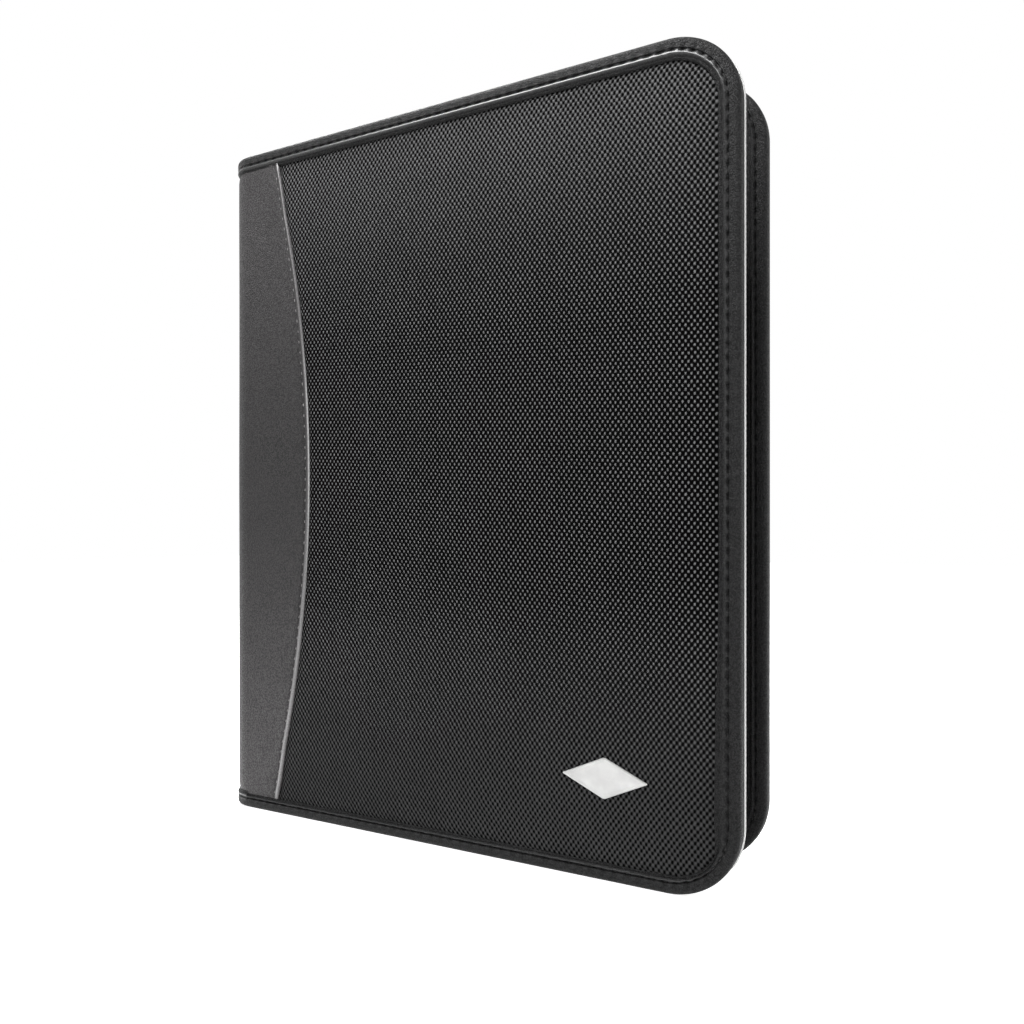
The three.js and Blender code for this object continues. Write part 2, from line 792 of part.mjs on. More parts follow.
function addHolderMount() {
  const half = mountPlateSize / 2;
  const plate = roundedRectangle(
    holderX - half, holderX + half, holderZ - half, holderZ + half, mountPlateRadius,
  );
  for (const [x, z] of rivetPlaces()) {
    roundHole(plate, x, z, rivetShankRadius + fit);
  }
  const screwPlaces = [0, 1, 2, 3].map((i) => [
    holderX + ringScrewCircleRadius * Math.round(Math.cos(i * Math.PI / 2)),
    holderZ + ringScrewCircleRadius * Math.round(Math.sin(i * Math.PI / 2)),
  ]);
  for (const [x, z] of screwPlaces) {
    roundHole(plate, x, z, screwShankRadius + fit);
  }
  add('mount_plate', 'plastic', sheet(plate, frontInside, mountPlateTop));
  rivetPlaces().forEach(([x, z], i) => {
    const seat = frontInside - liningThickness - boardThickness;
    const r = rivetHeadRadius;
    const top = mountPlateTop;
    add(`mount_rivet_${i + 1}`, 'steel', turned([
      [0, seat + fit], [rivetShankRadius, seat + fit], [rivetShankRadius, top], [r, top],
      [r, top + 0.4 * rivetHeadHeight], [0.7 * r, top + 0.85 * rivetHeadHeight],
      [0.3 * r, top + rivetHeadHeight], [0, top + rivetHeadHeight],
    ], x, z, 16));
  });
  const lipBottom = ringTop - ringLipThickness;
  const ring = turned([
    [rotorFlangeRadius + fit, mountPlateTop], [ringOuterRadius, mountPlateTop],
    [ringOuterRadius, ringTop - ringChamfer], [ringOuterRadius - ringChamfer, ringTop],
    [ringLipRadius, ringTop], [ringLipRadius, lipBottom],
    [rotorFlangeRadius + fit, lipBottom], [rotorFlangeRadius + fit, mountPlateTop],
  ], holderX, holderZ, 48);
  const holes = screwPlaces.map(([x, z]) => screwHole(x, z, ringTop, mountPlateTop - 1));
  add('swivel_ring', 'plastic', carve([ring], holes));
  screwPlaces.forEach(([x, z], i) => {
    add(`ring_screw_${i + 1}`, 'steel', screw(x, z, ringTop, frontInside + fit));
  });
}

function holderScrewPlaces() {
  const places = [];
  for (const dx of [-holderScrewX, holderScrewX]) {
    for (const dz of [-holderScrewZ, holderScrewZ]) {
      places.push([holderX + dx, holderZ + dz]);
    }
  }
  return places;
}

function addHolder() {
  const barrelBottom = rotorTop - springBarrelDepth;
  const rotor = turned([
    [0, rotorBottom], [rotorFlangeRadius, rotorBottom], [rotorFlangeRadius, rotorFlangeTop],
    [rotorBossRadius, rotorFlangeTop], [rotorBossRadius, rotorTop],
    [springBarrelRadius, rotorTop], [springBarrelRadius, barrelBottom], [0, barrelBottom],
  ], holderX, holderZ, 48);
  const screwEnd = rotorBottom + 2 * fit;
  const rotorHoles = holderScrewPlaces().map(
    ([x, z]) => pin(screwShankRadius + fit, screwEnd - fit, rotorTop + 1, x, z, 16),
  );
  add('swivel_rotor', 'plastic', carve([rotor], rotorHoles));

  const halfWidth = housingWidth / 2;
  const halfLength = housingLength / 2;
  const outline = () => roundedRectangle(
    holderX - halfWidth, holderX + halfWidth, holderZ - halfLength, holderZ + halfLength,
    housingCornerRadius,
  );
  const innerX = pitchRadius - toothHeight - fit;
  const outerX = rackBackX + running;
  const closedEnd = halfLength - housingEndWall;
  const channel = (turn) => sheet(polygon([
    [holderX + turn * innerX, holderZ - turn * closedEnd],
    [holderX + turn * outerX, holderZ - turn * closedEnd],
    [holderX + turn * outerX, holderZ + turn * (halfLength + 1)],
    [holderX + turn * innerX, holderZ + turn * (halfLength + 1)],
  ]), channelBottom, channelTop + 1);
  const cutters = [
    channel(1), channel(-1),
    pin(pitchRadius + toothHeight + 2 * fit, channelBottom, channelTop + 1, holderX, holderZ, 32),
    pin(pinionArborRadius + fit, rotorTop - 1, channelBottom + 1, holderX, holderZ, 24),
    ...holderScrewPlaces().map(
      ([x, z]) => pin(screwShankRadius + fit, rotorTop - 1, channelTop + 1, x, z, 16),
    ),
  ];
  add('holder_housing', 'plastic', carve([sheet(outline(), rotorTop, channelTop)], cutters));

  const lidHoles = [
    pin(pinionPinRadius + fit, channelTop - 1, lidTop + 1, holderX, holderZ, 24),
    ...holderScrewPlaces().map(([x, z]) => screwHole(x, z, lidTop, channelTop - 1)),
  ];
  add('holder_lid', 'plastic', carve([sheet(outline(), channelTop, lidTop)], lidHoles));
  holderScrewPlaces().forEach(([x, z], i) => {
    add(`holder_screw_${i + 1}`, 'steel', screw(x, z, lidTop, screwEnd));
  });

  const arborBottom = barrelBottom + fit;
  add('pinion', 'plastic', carve([
    sheet(pinionOutline(), gearBottom, gearTop),
    pin(pinionArborRadius, arborBottom, gearBottom + 1, holderX, holderZ, 24),
    pin(pinionPinRadius, gearTop - 1, lidTop - fit, holderX, holderZ, 24),
  ]));
  add('pinion_spring', 'steel', spiralSpring(barrelBottom + fit));
  add('upper_jaw', 'plastic', jaw(1));
  add('lower_jaw', 'plastic', jaw(-1));
  for (const [level, turn] of [['upper', 1], ['lower', -1]]) {
    for (const [hand, side] of [['left', -1], ['right', 1]]) {
      add(`${level}_grip_${hand}`, 'rubber', grip(turn, side));
    }
  }
}

/** Flat band wound from the pinion's arbor out to the barrel's wall. */
function spiralSpring(bottom) {
  const inner = pinionArborRadius + fit + springBandThickness / 2;
  const outer = springBarrelRadius - fit - springBandThickness / 2;
  const steps = springTurns * 20;
  const half = springBandThickness / 2;
  const up = new THREE.Vector3(0, 1, 0);
  const stations = [];
  for (let i = 0; i <= steps; i += 1) {
    const share = i / steps;
    const angle = share * springTurns * 2 * Math.PI;
    const radius = inner + (outer - inner) * share;
    const across = new THREE.Vector3(Math.cos(angle), 0, Math.sin(angle));
    const origin = new THREE.Vector3(holderX, bottom, holderZ).addScaledVector(across, radius);
    stations.push({ origin, across, up });
  }
  return swept(stations, [
    [-half, 0], [half, 0], [half, springBandHeight], [-half, springBandHeight],
  ]);
}

function addPad() {
  const backFace = rearInside - fit;
  const top = padBottom + padHeight;
  const sheetBack = backFace - padBackThickness - 2 * fit - pocketSheet;
  const front = sheetBack - padSheetsThickness;
  const block = () => polygon([
    [padLeft, padBottom], [padRight, padBottom], [padRight, top], [padLeft, top],
  ]);
  add('pad_back', 'card', sheet(block(), backFace - padBackThickness, backFace));
  add('pad_sheets', 'paper', sheet(block(), front, sheetBack));
  const tape = polygon([
    [top, backFace], [top, front], [top - padTapeHeight, front],
    [top - padTapeHeight, front - padTapeThickness],
    [top + padTapeThickness, front - padTapeThickness], [top + padTapeThickness, backFace],
  ]);
  add('pad_tape', 'tape', crossways(tape, padLeft, padRight));
}

function addPockets() {
  add('document_pocket', 'leather', pocket({
    left: padLeft - fit - pocketSeam,
    right: padRight + fit + pocketSeam,
    bottom: pocketBottom,
    top: pocketBottom + documentPocketHeight,
    back: rearInside,
    gap: padBackThickness + 2 * fit,
    thickness: pocketSheet,
    notch: true,
  }));
  const depth = cardPocketGap + cardPocketSheet;
  for (let i = 0; i < cardPocketCount; i += 1) {
    const steps = cardPocketCount - 1 - i;
    add(`card_pocket_${i + 1}`, 'leather', pocket({
      left: cardPocketLeft,
      right: cardPocketRight,
      bottom: cardPocketFromBottom,
      top: cardPocketFromBottom + cardPocketHeight + steps * cardPocketStep,
      back: rearInside - i * depth,
      gap: cardPocketGap,
      thickness: cardPocketSheet,
    }));
  }
}

function addPenLoop() {
  const x = spineX + penLoopFromSpine;
  const outer = penLoopInnerRadius + penLoopWall;
  const foot = rearInside - penLoopWall;
  const centreY = foot - outer + penLoopWall / 2;
  const half = penLoopFootWidth / 2;
  const meet = Math.asin((foot - centreY) / outer);
  const shape = new THREE.Shape();
  shape.moveTo(x - half, rearInside);
  shape.lineTo(x - half, foot);
  shape.absarc(x, centreY, outer, Math.PI - meet, 2 * Math.PI + meet, false);
  shape.lineTo(x + half, foot);
  shape.lineTo(x + half, rearInside);
  roundHole(shape, x, centreY, penLoopInnerRadius);
  const high = coverHeight - penLoopFromTop;
  add('pen_loop', 'elastic', upright(shape, high - penLoopHeight, high, penLoopSteps));
}

addCover('front_cover', -1);
addWelt();
addDiamondPlate();
addSpine();
addCover('rear_cover', 1);
addHolderMount();
addHolder();
addPockets();
addPad();
addPenLoop();

export default organizer;
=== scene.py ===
"""Looks of a padded tablet organizer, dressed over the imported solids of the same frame."""
import logging
import math
from dataclasses import dataclass, field
from enum import Enum
from typing import Any, Dict, List, Optional, Sequence, Tuple, Union

import bmesh
import bpy
from mathutils import Euler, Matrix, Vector, noise


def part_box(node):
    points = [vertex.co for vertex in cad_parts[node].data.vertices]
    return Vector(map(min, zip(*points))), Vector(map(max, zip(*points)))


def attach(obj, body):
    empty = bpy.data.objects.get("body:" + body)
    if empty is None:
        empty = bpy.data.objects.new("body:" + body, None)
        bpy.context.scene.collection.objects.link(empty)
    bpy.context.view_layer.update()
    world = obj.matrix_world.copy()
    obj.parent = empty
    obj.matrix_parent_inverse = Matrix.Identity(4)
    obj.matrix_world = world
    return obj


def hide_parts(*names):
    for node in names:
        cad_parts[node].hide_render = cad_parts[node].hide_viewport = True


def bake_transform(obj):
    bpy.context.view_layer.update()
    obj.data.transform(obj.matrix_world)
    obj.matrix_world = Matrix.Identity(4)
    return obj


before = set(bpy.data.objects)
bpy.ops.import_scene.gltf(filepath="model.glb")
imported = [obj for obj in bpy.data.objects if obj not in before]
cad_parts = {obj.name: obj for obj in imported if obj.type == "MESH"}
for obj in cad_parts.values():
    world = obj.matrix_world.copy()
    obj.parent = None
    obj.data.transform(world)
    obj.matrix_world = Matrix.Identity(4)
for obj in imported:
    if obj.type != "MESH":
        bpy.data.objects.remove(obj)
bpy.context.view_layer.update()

LOG = logging.getLogger("organizer")
MM = 0.001
QUARTER = math.pi / 2
Pair = Tuple[float, float]
Triple = Tuple[float, float, float]
Stitch = Tuple[Vector, Vector, Vector]


class Side(Enum):
    """The two covers, with the sign of their outward Y direction."""

    FRONT = -1
    REAR = 1

    @property
    def cover(self) -> str:
        """Name of the cover's body and the start of its nodes' names."""
        return "front_cover" if self is Side.FRONT else "rear_cover"


class End(Enum):
    """The two ends of the spine, with the direction into the cover along Z."""

    BOTTOM = 1
    TOP = -1


class Effect(Enum):
    """The surface patterns, with the names of their node groups."""

    WEAVE = "coarse_weave"
    GRAIN = "leather_grain"
    CLOTH = "fine_weave"
    MOTTLE = "mottle"


@dataclass(frozen=True)
class Sizes:
    """Sizes in millimetres that the dressing shares with the solids."""

    height: float = 275.0
    spine_x: float = -110.7
    fore_x: float = 110.3
    corner: float = 24.0
    fold_radius: float = 12.0
    fold_y: float = 8.0
    cover_middle: float = 17.0
    half_cover: float = 3.0
    layer_top: float = 1.9
    binding: float = 6.6
    groove: float = 4.05
    bead_width: float = 3.05
    wrap_tuck: float = 0.9
    wrap_end: float = 28.0
    wrap_middle: float = 46.4
    stitch_pitch: float = 4.3
    stitch_length: float = 3.1
    thread_radius: float = 0.26
    thread_level: float = 2.05

    @property
    def middle_z(self) -> float:
        """Height of the middle of the case."""
        return self.height / 2

    @property
    def fold_x(self) -> float:
        """Where the covers end and the folds begin."""
        return self.spine_x + self.fold_radius

    @property
    def fold_middle(self) -> float:
        """Radius of the fold's middle surface."""
        return self.fold_radius - self.half_cover

    @property
    def straight(self) -> float:
        """Length of the straight part of a cover's top and bottom edges."""
        return self.fore_x - self.corner - self.fold_x

    @property
    def field_start(self) -> float:
        """Inset where the padded field starts, before it varies round the edge."""
        return self.groove + self.bead_width


S = Sizes()


# Mesh helpers


def smooth_step(low: float, high: float, value: float) -> float:
    """Smooth ramp from 0 to 1.

    Args:
        low: Value where the ramp starts.
        high: Value where the ramp ends.
        value: Value to look up.

    Returns:
        The ramp's height.
    """
    t = min(1.0, max(0.0, (value - low) / (high - low)))
    return t * t * (3 - 2 * t)


def bell(value: float, width: float, power: float = 2.0) -> float:
    """A bell-shaped bump that is 1 at 0.

    Args:
        value: Distance from the bump's middle.
        width: Distance at which the bump has shrunk to 0.37.
        power: 2 for a bell, more for a flat top and steep sides.

    Returns:
        The bump's height.
    """
    return math.exp(-(value / width) ** power)


def clear_of_ends(z: float, margin: float) -> float:
    """Z moved no nearer than a margin to the bottom or the top of the case."""
    return min(max(z, margin), S.height - margin)


def box_mm(node: str) -> Tuple[Sequence[float], Sequence[float]]:
    """Low and high corner of a solid's box in millimetres."""
    low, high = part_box(node)
    return [v / MM for v in low], [v / MM for v in high]


def finish_mesh(name: str, bm: bmesh.types.BMesh, angle: float = 50.0) -> bpy.types.Object:
    """Turn a bmesh in millimetres into a smooth-shaded object in metres.

    Args:
        name: Name of the new piece.
        bm: The mesh, which is freed.
        angle: Edges sharper than this, in degrees, stay sharp.

    Returns:
        The new object.
    """
    bmesh.ops.recalc_face_normals(bm, faces=bm.faces)
    bmesh.ops.scale(bm, vec=(MM, MM, MM), verts=bm.verts)
    mesh = bpy.data.meshes.new(name)
    bm.to_mesh(mesh)
    bm.free()
    mesh.shade_smooth()
    mesh.set_sharp_from_angle(angle=math.radians(angle))
    piece = bpy.data.objects.new(name, mesh)
    bpy.context.scene.collection.objects.link(piece)
    return piece


def mark_crests(piece: bpy.types.Object, weights: Sequence[float]) -> None:
    """Store on every point its crest mark: painted highlight or shade in the colour, and gloss.

    Args:
        piece: Object made of rings of equal length.
        weights: The numbers of one ring, used for every ring, or of all rings.
    """
    layer = piece.data.attributes.new("crest", "FLOAT", "POINT")
    for index, item in enumerate(layer.data):
        item.value = weights[index % len(weights)]


def skin(bm: bmesh.types.BMesh, rings: Sequence[Sequence[Triple]]) -> None:
    """Roll a grid round closed rings of equal length and close both ends.

    Args:
        bm: Mesh to add to.
        rings: Points of each ring.
    """
    count = len(rings[0])
    grid = bmesh.ops.create_grid(bm, x_segments=count, y_segments=len(rings) - 1, size=1.0)
    # A tube before this one may have freed points, which a grid takes first, out of order.
    points = sorted(grid["verts"], key=lambda point: (round(point.co.y, 5), point.co.x))
    rows = [points[start:start + count + 1] for start in range(0, len(points), count + 1)]
    for row, ring in zip(rows, rings):
        for point, place in zip(row, (*ring, ring[0])):
            point.co = place
    bmesh.ops.weld_verts(bm, targetmap={row[-1]: row[0] for row in rows})
    rims = {edge for row in (rows[0], rows[-1]) for point in row[:-1]
            for edge in point.link_edges if edge.is_boundary}
    bmesh.ops.holes_fill(bm, edges=list(rims))


def tube(name: str, rings: Sequence[Sequence[Triple]], angle: float = 50.0) -> bpy.types.Object:
    """A piece made of one skinned row of rings.

    Args:
        name: Name of the piece.
        rings: Points of each closed ring.
        angle: Edges sharper than this, in degrees, stay sharp.

    Returns:
        The new object.
    """
    bm = bmesh.new()
    skin(bm, rings)
    return finish_mesh(name, bm, angle)


def sheet(name: str, shown: Sequence[Sequence[Triple]], hidden: Sequence[Sequence[Triple]],
          angle: float = 50.0) -> bpy.types.Object:
    """A thick sheet between two equal grids of points.

    Args:
        name: Name of the piece.
        shown: Rows of points of the shown face.
        hidden: Rows of points of the hidden face.
        angle: Edges sharper than this, in degrees, stay sharp.

    Returns:
        The new object.
    """
    rings = [list(row) + list(reversed(back)) for row, back in zip(shown, hidden)]
    return tube(name, rings, angle)


def thread_row(name: str, places: Sequence[Stitch], length: float,
               radius: float) -> bpy.types.Object:
    """A row of single stitches, each a short thread that dives in at both ends.

    Args:
        name: Name of the piece.
        places: Middle, direction and outward normal of every stitch, in millimetres.
        length: Shown length of a stitch.
        radius: Radius of the thread.

    Returns:
        The new object.
    """
    sides, parts = 6, 6
    dive = radius * 1.6
    turns = [2 * math.pi * k / sides for k in range(sides)]
    bm = bmesh.new()
    for middle, along, out in places:
        across = along.cross(out).normalized()
        rings = []
        for i in range(parts + 1):
            t = i / parts * 2 - 1
            thick = radius * math.sqrt(1 - 0.75 * abs(t) ** 3)
            centre = middle + along * (t * length / 2) - out * (dive * t * t)
            rings.append([tuple(centre + (across * math.cos(a) + out * math.sin(a)) * thick)
                          for a in turns])
        skin(bm, rings)
    return finish_mesh(name, bm, 60)


# Paths


@dataclass(frozen=True)
class Station:
    """A place on a cover's edge: run length, point, inward direction and bend."""

    run: float
    x: float
    z: float
    in_x: float
    in_z: float
    bend: float

    def at(self, side: Side, inset: float, height: float) -> Triple:
        """A point of the cover near this place.

        Args:
            side: Which cover.
            inset: Distance inwards from the path.
            height: Height above the cover's middle surface.

        Returns:
            The point in millimetres.
        """
        return (self.x + inset * self.in_x, side.value * (S.cover_middle + height),
                self.z + inset * self.in_z)


def edge_path(step: float, inset: float = 0.0) -> List[Station]:
    """Stations along a cover's edge from the fold's top round to the fold's bottom.

    Args:
        step: Least spacing of the stations in millimetres.
        inset: How far the path runs inside the edge.

    Returns:
        The stations in order.
    """
    r = S.corner
    stations: List[Station] = []
    side_run = S.height - 2 * r
    arc_run = QUARTER * (r - inset)
    steps = max(12, int(arc_run / step))

    def turn(start: float, first: float, centre_z: float) -> None:
        """Add the stations of a corner.

        Args:
            start: Run length at the corner's start.
            first: Angle at its start.
            centre_z: Z of its centre.
        """
        for i in range(steps + 1):
            a = first - QUARTER * i / steps
            stations.append(Station(
                start + arc_run * i / steps, S.fore_x - r + (r - inset) * math.cos(a),
                centre_z + (r - inset) * math.sin(a), -math.cos(a), -math.sin(a), 1))

    for i in range(int(S.straight / step)):
        d = i * step
        stations.append(Station(d, S.fold_x + d, S.height - inset, 0, -1, 0))
    run = S.straight
    turn(run, QUARTER, S.height - r)
    run += arc_run
    for i in range(1, int(side_run / step)):
        d = i * step
        stations.append(Station(run + d, S.fore_x - inset, S.height - r - d, -1, 0, 0))
    run += side_run
    turn(run, 0.0, r)
    run += arc_run
    for i in range(1, int(S.straight / step) + 1):
        d = i * step
        stations.append(Station(run + d, S.fore_x - r - d, inset, 0, 1, 0))
    stations.append(Station(run + S.straight, S.fold_x, inset, 0, 1, 0))
    return stations


def fold_point(side: Side, u: float, height: float) -> Pair:
    """Point round the spine: u from 0 to 1 is the fold, from 1 to 2 the wall to its middle.

    Args:
        side: Which fold.
        u: Place along the way.
        height: Height above the middle surface.

    Returns:
        X and Y in millimetres.
    """
    r = S.fold_middle + height
    if u <= 1:
        a = u * QUARTER
        return S.fold_x - r * math.sin(a), side.value * (S.fold_y + r * math.cos(a))
    return S.fold_x - r, side.value * S.fold_y * (2 - u)


# Node graphs


class Value:
    """An output of a node, which arithmetic joins to others through Math nodes."""

    def __init__(self, graph: "Graph", socket: bpy.types.NodeSocket) -> None:
        """Hold an output socket of a graph."""
        self.graph = graph
        self.socket = socket

    def __add__(self, other: "Number") -> "Value":
        """The sum of both."""
        return self.graph.math("ADD", self, other)

    def __sub__(self, other: "Number") -> "Value":
        """This less the other."""
        return self.graph.math("SUBTRACT", self, other)

    def __rsub__(self, other: float) -> "Value":
        """A constant less this."""
        return self.graph.math("SUBTRACT", other, self)

    def __mul__(self, other: "Number") -> "Value":
        """The product of both."""
        return self.graph.math("MULTIPLY", self, other)

    def __truediv__(self, other: "Number") -> "Value":
        """This divided by the other."""
        return self.graph.math("DIVIDE", self, other)

    def __abs__(self) -> "Value":
        """This without its sign."""
        return self.graph.math("ABSOLUTE", self)


Number = Union[float, Value]


class Graph:
    """A node tree with short calls to add and join nodes."""

    def __init__(self, tree: bpy.types.NodeTree) -> None:
        """Work on a node tree."""
        self.tree = tree

    def fill(self, node: bpy.types.Node, inputs: Dict[Any, Any]) -> None:
        """Set or join inputs of a node.

        Args:
            node: The node.
            inputs: Input name or number to a constant or a value.
        """
        for key, value in inputs.items():
            if isinstance(value, Value):
                self.tree.links.new(value.socket, node.inputs[key])
            else:
                node.inputs[key].default_value = value

    def add(self, kind: str, inputs: Optional[Dict[Any, Any]] = None,
            **settings: Any) -> bpy.types.Node:
        """Add a node.

        Args:
            kind: Blender's node type.
            inputs: Input name or number to a constant or a value.
            **settings: Properties of the node.

        Returns:
            The new node.
        """
        node = self.tree.nodes.new(kind)
        for key, value in settings.items():
            setattr(node, key, value)
        self.fill(node, inputs or {})
        return node

    def get(self, kind: str, output: Union[str, int], inputs: Optional[Dict[Any, Any]] = None,
            **settings: Any) -> Value:
        """Add a node and read one of its outputs.

        Args:
            kind: Blender's node type.
            output: Name or number of the output.
            inputs: Input name or number to a constant or a value.
            **settings: Properties of the node.

        Returns:
            The output's value.
        """
        return Value(self, self.add(kind, inputs, **settings).outputs[output])

    def math(self, operation: str, *values: Number) -> Value:
        """Add a Math node.

        Args:
            operation: Blender's name of the operation.
            *values: Its inputs in order.

        Returns:
            The result.
        """
        return self.get("ShaderNodeMath", 0, dict(enumerate(values)), operation=operation)

    def ramp(self, value: Value, low: Number, high: Number, to_low: Number = 0.0,
             to_high: Number = 1.0) -> Value:
        """Map a value smoothly from one range to another and hold it past both ends.

        Args:
            value: The value.
            low: Start of its range.
            high: End of its range.
            to_low: Result at the start.
            to_high: Result at the end.

        Returns:
            The result.
        """
        return self.get("ShaderNodeMapRange", "Result", {
            "Value": value, "From Min": low, "From Max": high, "To Min": to_low,
            "To Max": to_high}, interpolation_type="SMOOTHSTEP")

    def noise(self, place: Value, scale: Number, detail: float, roughness: float = 0.5,
              output: str = "Fac") -> Value:
        """Add a Noise Texture node.

        Args:
            place: Coordinates.
            scale: Lumps in a millimetre.
            detail: Number of finer layers.
            roughness: Strength of the finer layers.
            output: Output to read.

        Returns:
            The noise.
        """
        return self.get("ShaderNodeTexNoise", output, {
            "Vector": place, "Scale": scale, "Detail": detail, "Roughness": roughness})

    def mix(self, factor: Number, first: Any, second: Any, blend: str = "MIX") -> Value:
        """Mix two colours.

        Args:
            factor: Share of the second colour.
            first: A colour or a colour value.
            second: A colour or a colour value.
            blend: How they mix.

        Returns:
            The mixed colour.
        """
        return self.get("ShaderNodeMix", 2, {0: factor, 6: first, 7: second},
                        data_type="RGBA", blend_type=blend)

    def split(self, vector: Value) -> Tuple[Value, Value, Value]:
        """X, Y and Z of a vector."""
        outputs = self.add("ShaderNodeSeparateXYZ", {0: vector}).outputs
        return Value(self, outputs["X"]), Value(self, outputs["Y"]), Value(self, outputs["Z"])

    def grey(self, tone: Value) -> Value:
        """A grey with a tone in all three channels."""
        return self.get("ShaderNodeCombineXYZ", 0, {0: tone, 1: tone, 2: tone})

    def position(self) -> Value:
        """Object coordinates in millimetres.

        Returns:
            The coordinates.
        """
        place = self.get("ShaderNodeTexCoord", "Object")
        return self.get("ShaderNodeVectorMath", 0, {0: place, 1: (1 / MM, 1 / MM, 1 / MM)},
                        operation="MULTIPLY")

    def seen(self) -> Value:
        """Tell the rays that reach the eye from those that only light the scene.

        Returns:
            1 for rays from the camera and for mirrored or refracted ones, otherwise 0.
        """
        ways = self.add("ShaderNodeLightPath").outputs
        camera, mirrored, refracted = (
            Value(self, ways[f"Is {kind} Ray"]) for kind in ("Camera", "Glossy", "Transmission"))
        return self.math("MAXIMUM", camera, self.math("MAXIMUM", mirrored, refracted))

    def pattern(self, tree: bpy.types.NodeTree, place: Value,
                scale: Optional[float] = None) -> Tuple[Value, Value]:
        """Add one of the shared node groups.

        Args:
            tree: The group's tree.
            place: Coordinates.
            scale: Value of its first float input, or None for the default.

        Returns:
            The group's mask and height.
        """
        node = self.add("ShaderNodeGroup", node_tree=tree)
        self.fill(node, {"Vector": place} if scale is None else {"Vector": place, 1: scale})
        return Value(self, node.outputs["Mask"]), Value(self, node.outputs["Height"])


class Group(Graph):
    """A node group that turns a Vector and some floats into a Mask and a Height."""

    def __init__(self, effect: Effect, **inputs: float) -> None:
        """Start a group.

        Args:
            effect: Pattern that the group makes.
            **inputs: Names and defaults of its float inputs.
        """
        super().__init__(bpy.data.node_groups.new(effect.value, "ShaderNodeTree"))
        sockets = self.tree.interface
        sockets.new_socket("Vector", in_out="INPUT", socket_type="NodeSocketVector")
        for label, value in inputs.items():
            socket = sockets.new_socket(label, in_out="INPUT", socket_type="NodeSocketFloat")
            socket.default_value = value
        for label in ("Mask", "Height"):
            sockets.new_socket(label, in_out="OUTPUT", socket_type="NodeSocketFloat")
        self.start = self.add("NodeGroupInput")

    def given(self, name: str) -> Value:
        """The value of one of the group's inputs."""
        return Value(self, self.start.outputs[name])

    def give(self, mask: Value, height: Value) -> bpy.types.NodeTree:
        """Join the group's results to its outputs.

        Args:
            mask: Share of the light colour.
            height: Relief.

        Returns:
            The group's finished tree.
        """
        self.add("NodeGroupOutput", {"Mask": mask, "Height": height})
        return self.tree


def new_material(name: str) -> Tuple[bpy.types.Material, Graph, bpy.types.Node]:
    """Start a material.

    Args:
        name: Name of the material.

    Returns:
        The material, its graph and its Principled BSDF node.
    """
    material = bpy.data.materials.new(name)
    material.use_nodes = True
    tree = material.node_tree
    return material, Graph(tree), tree.nodes["Principled BSDF"]


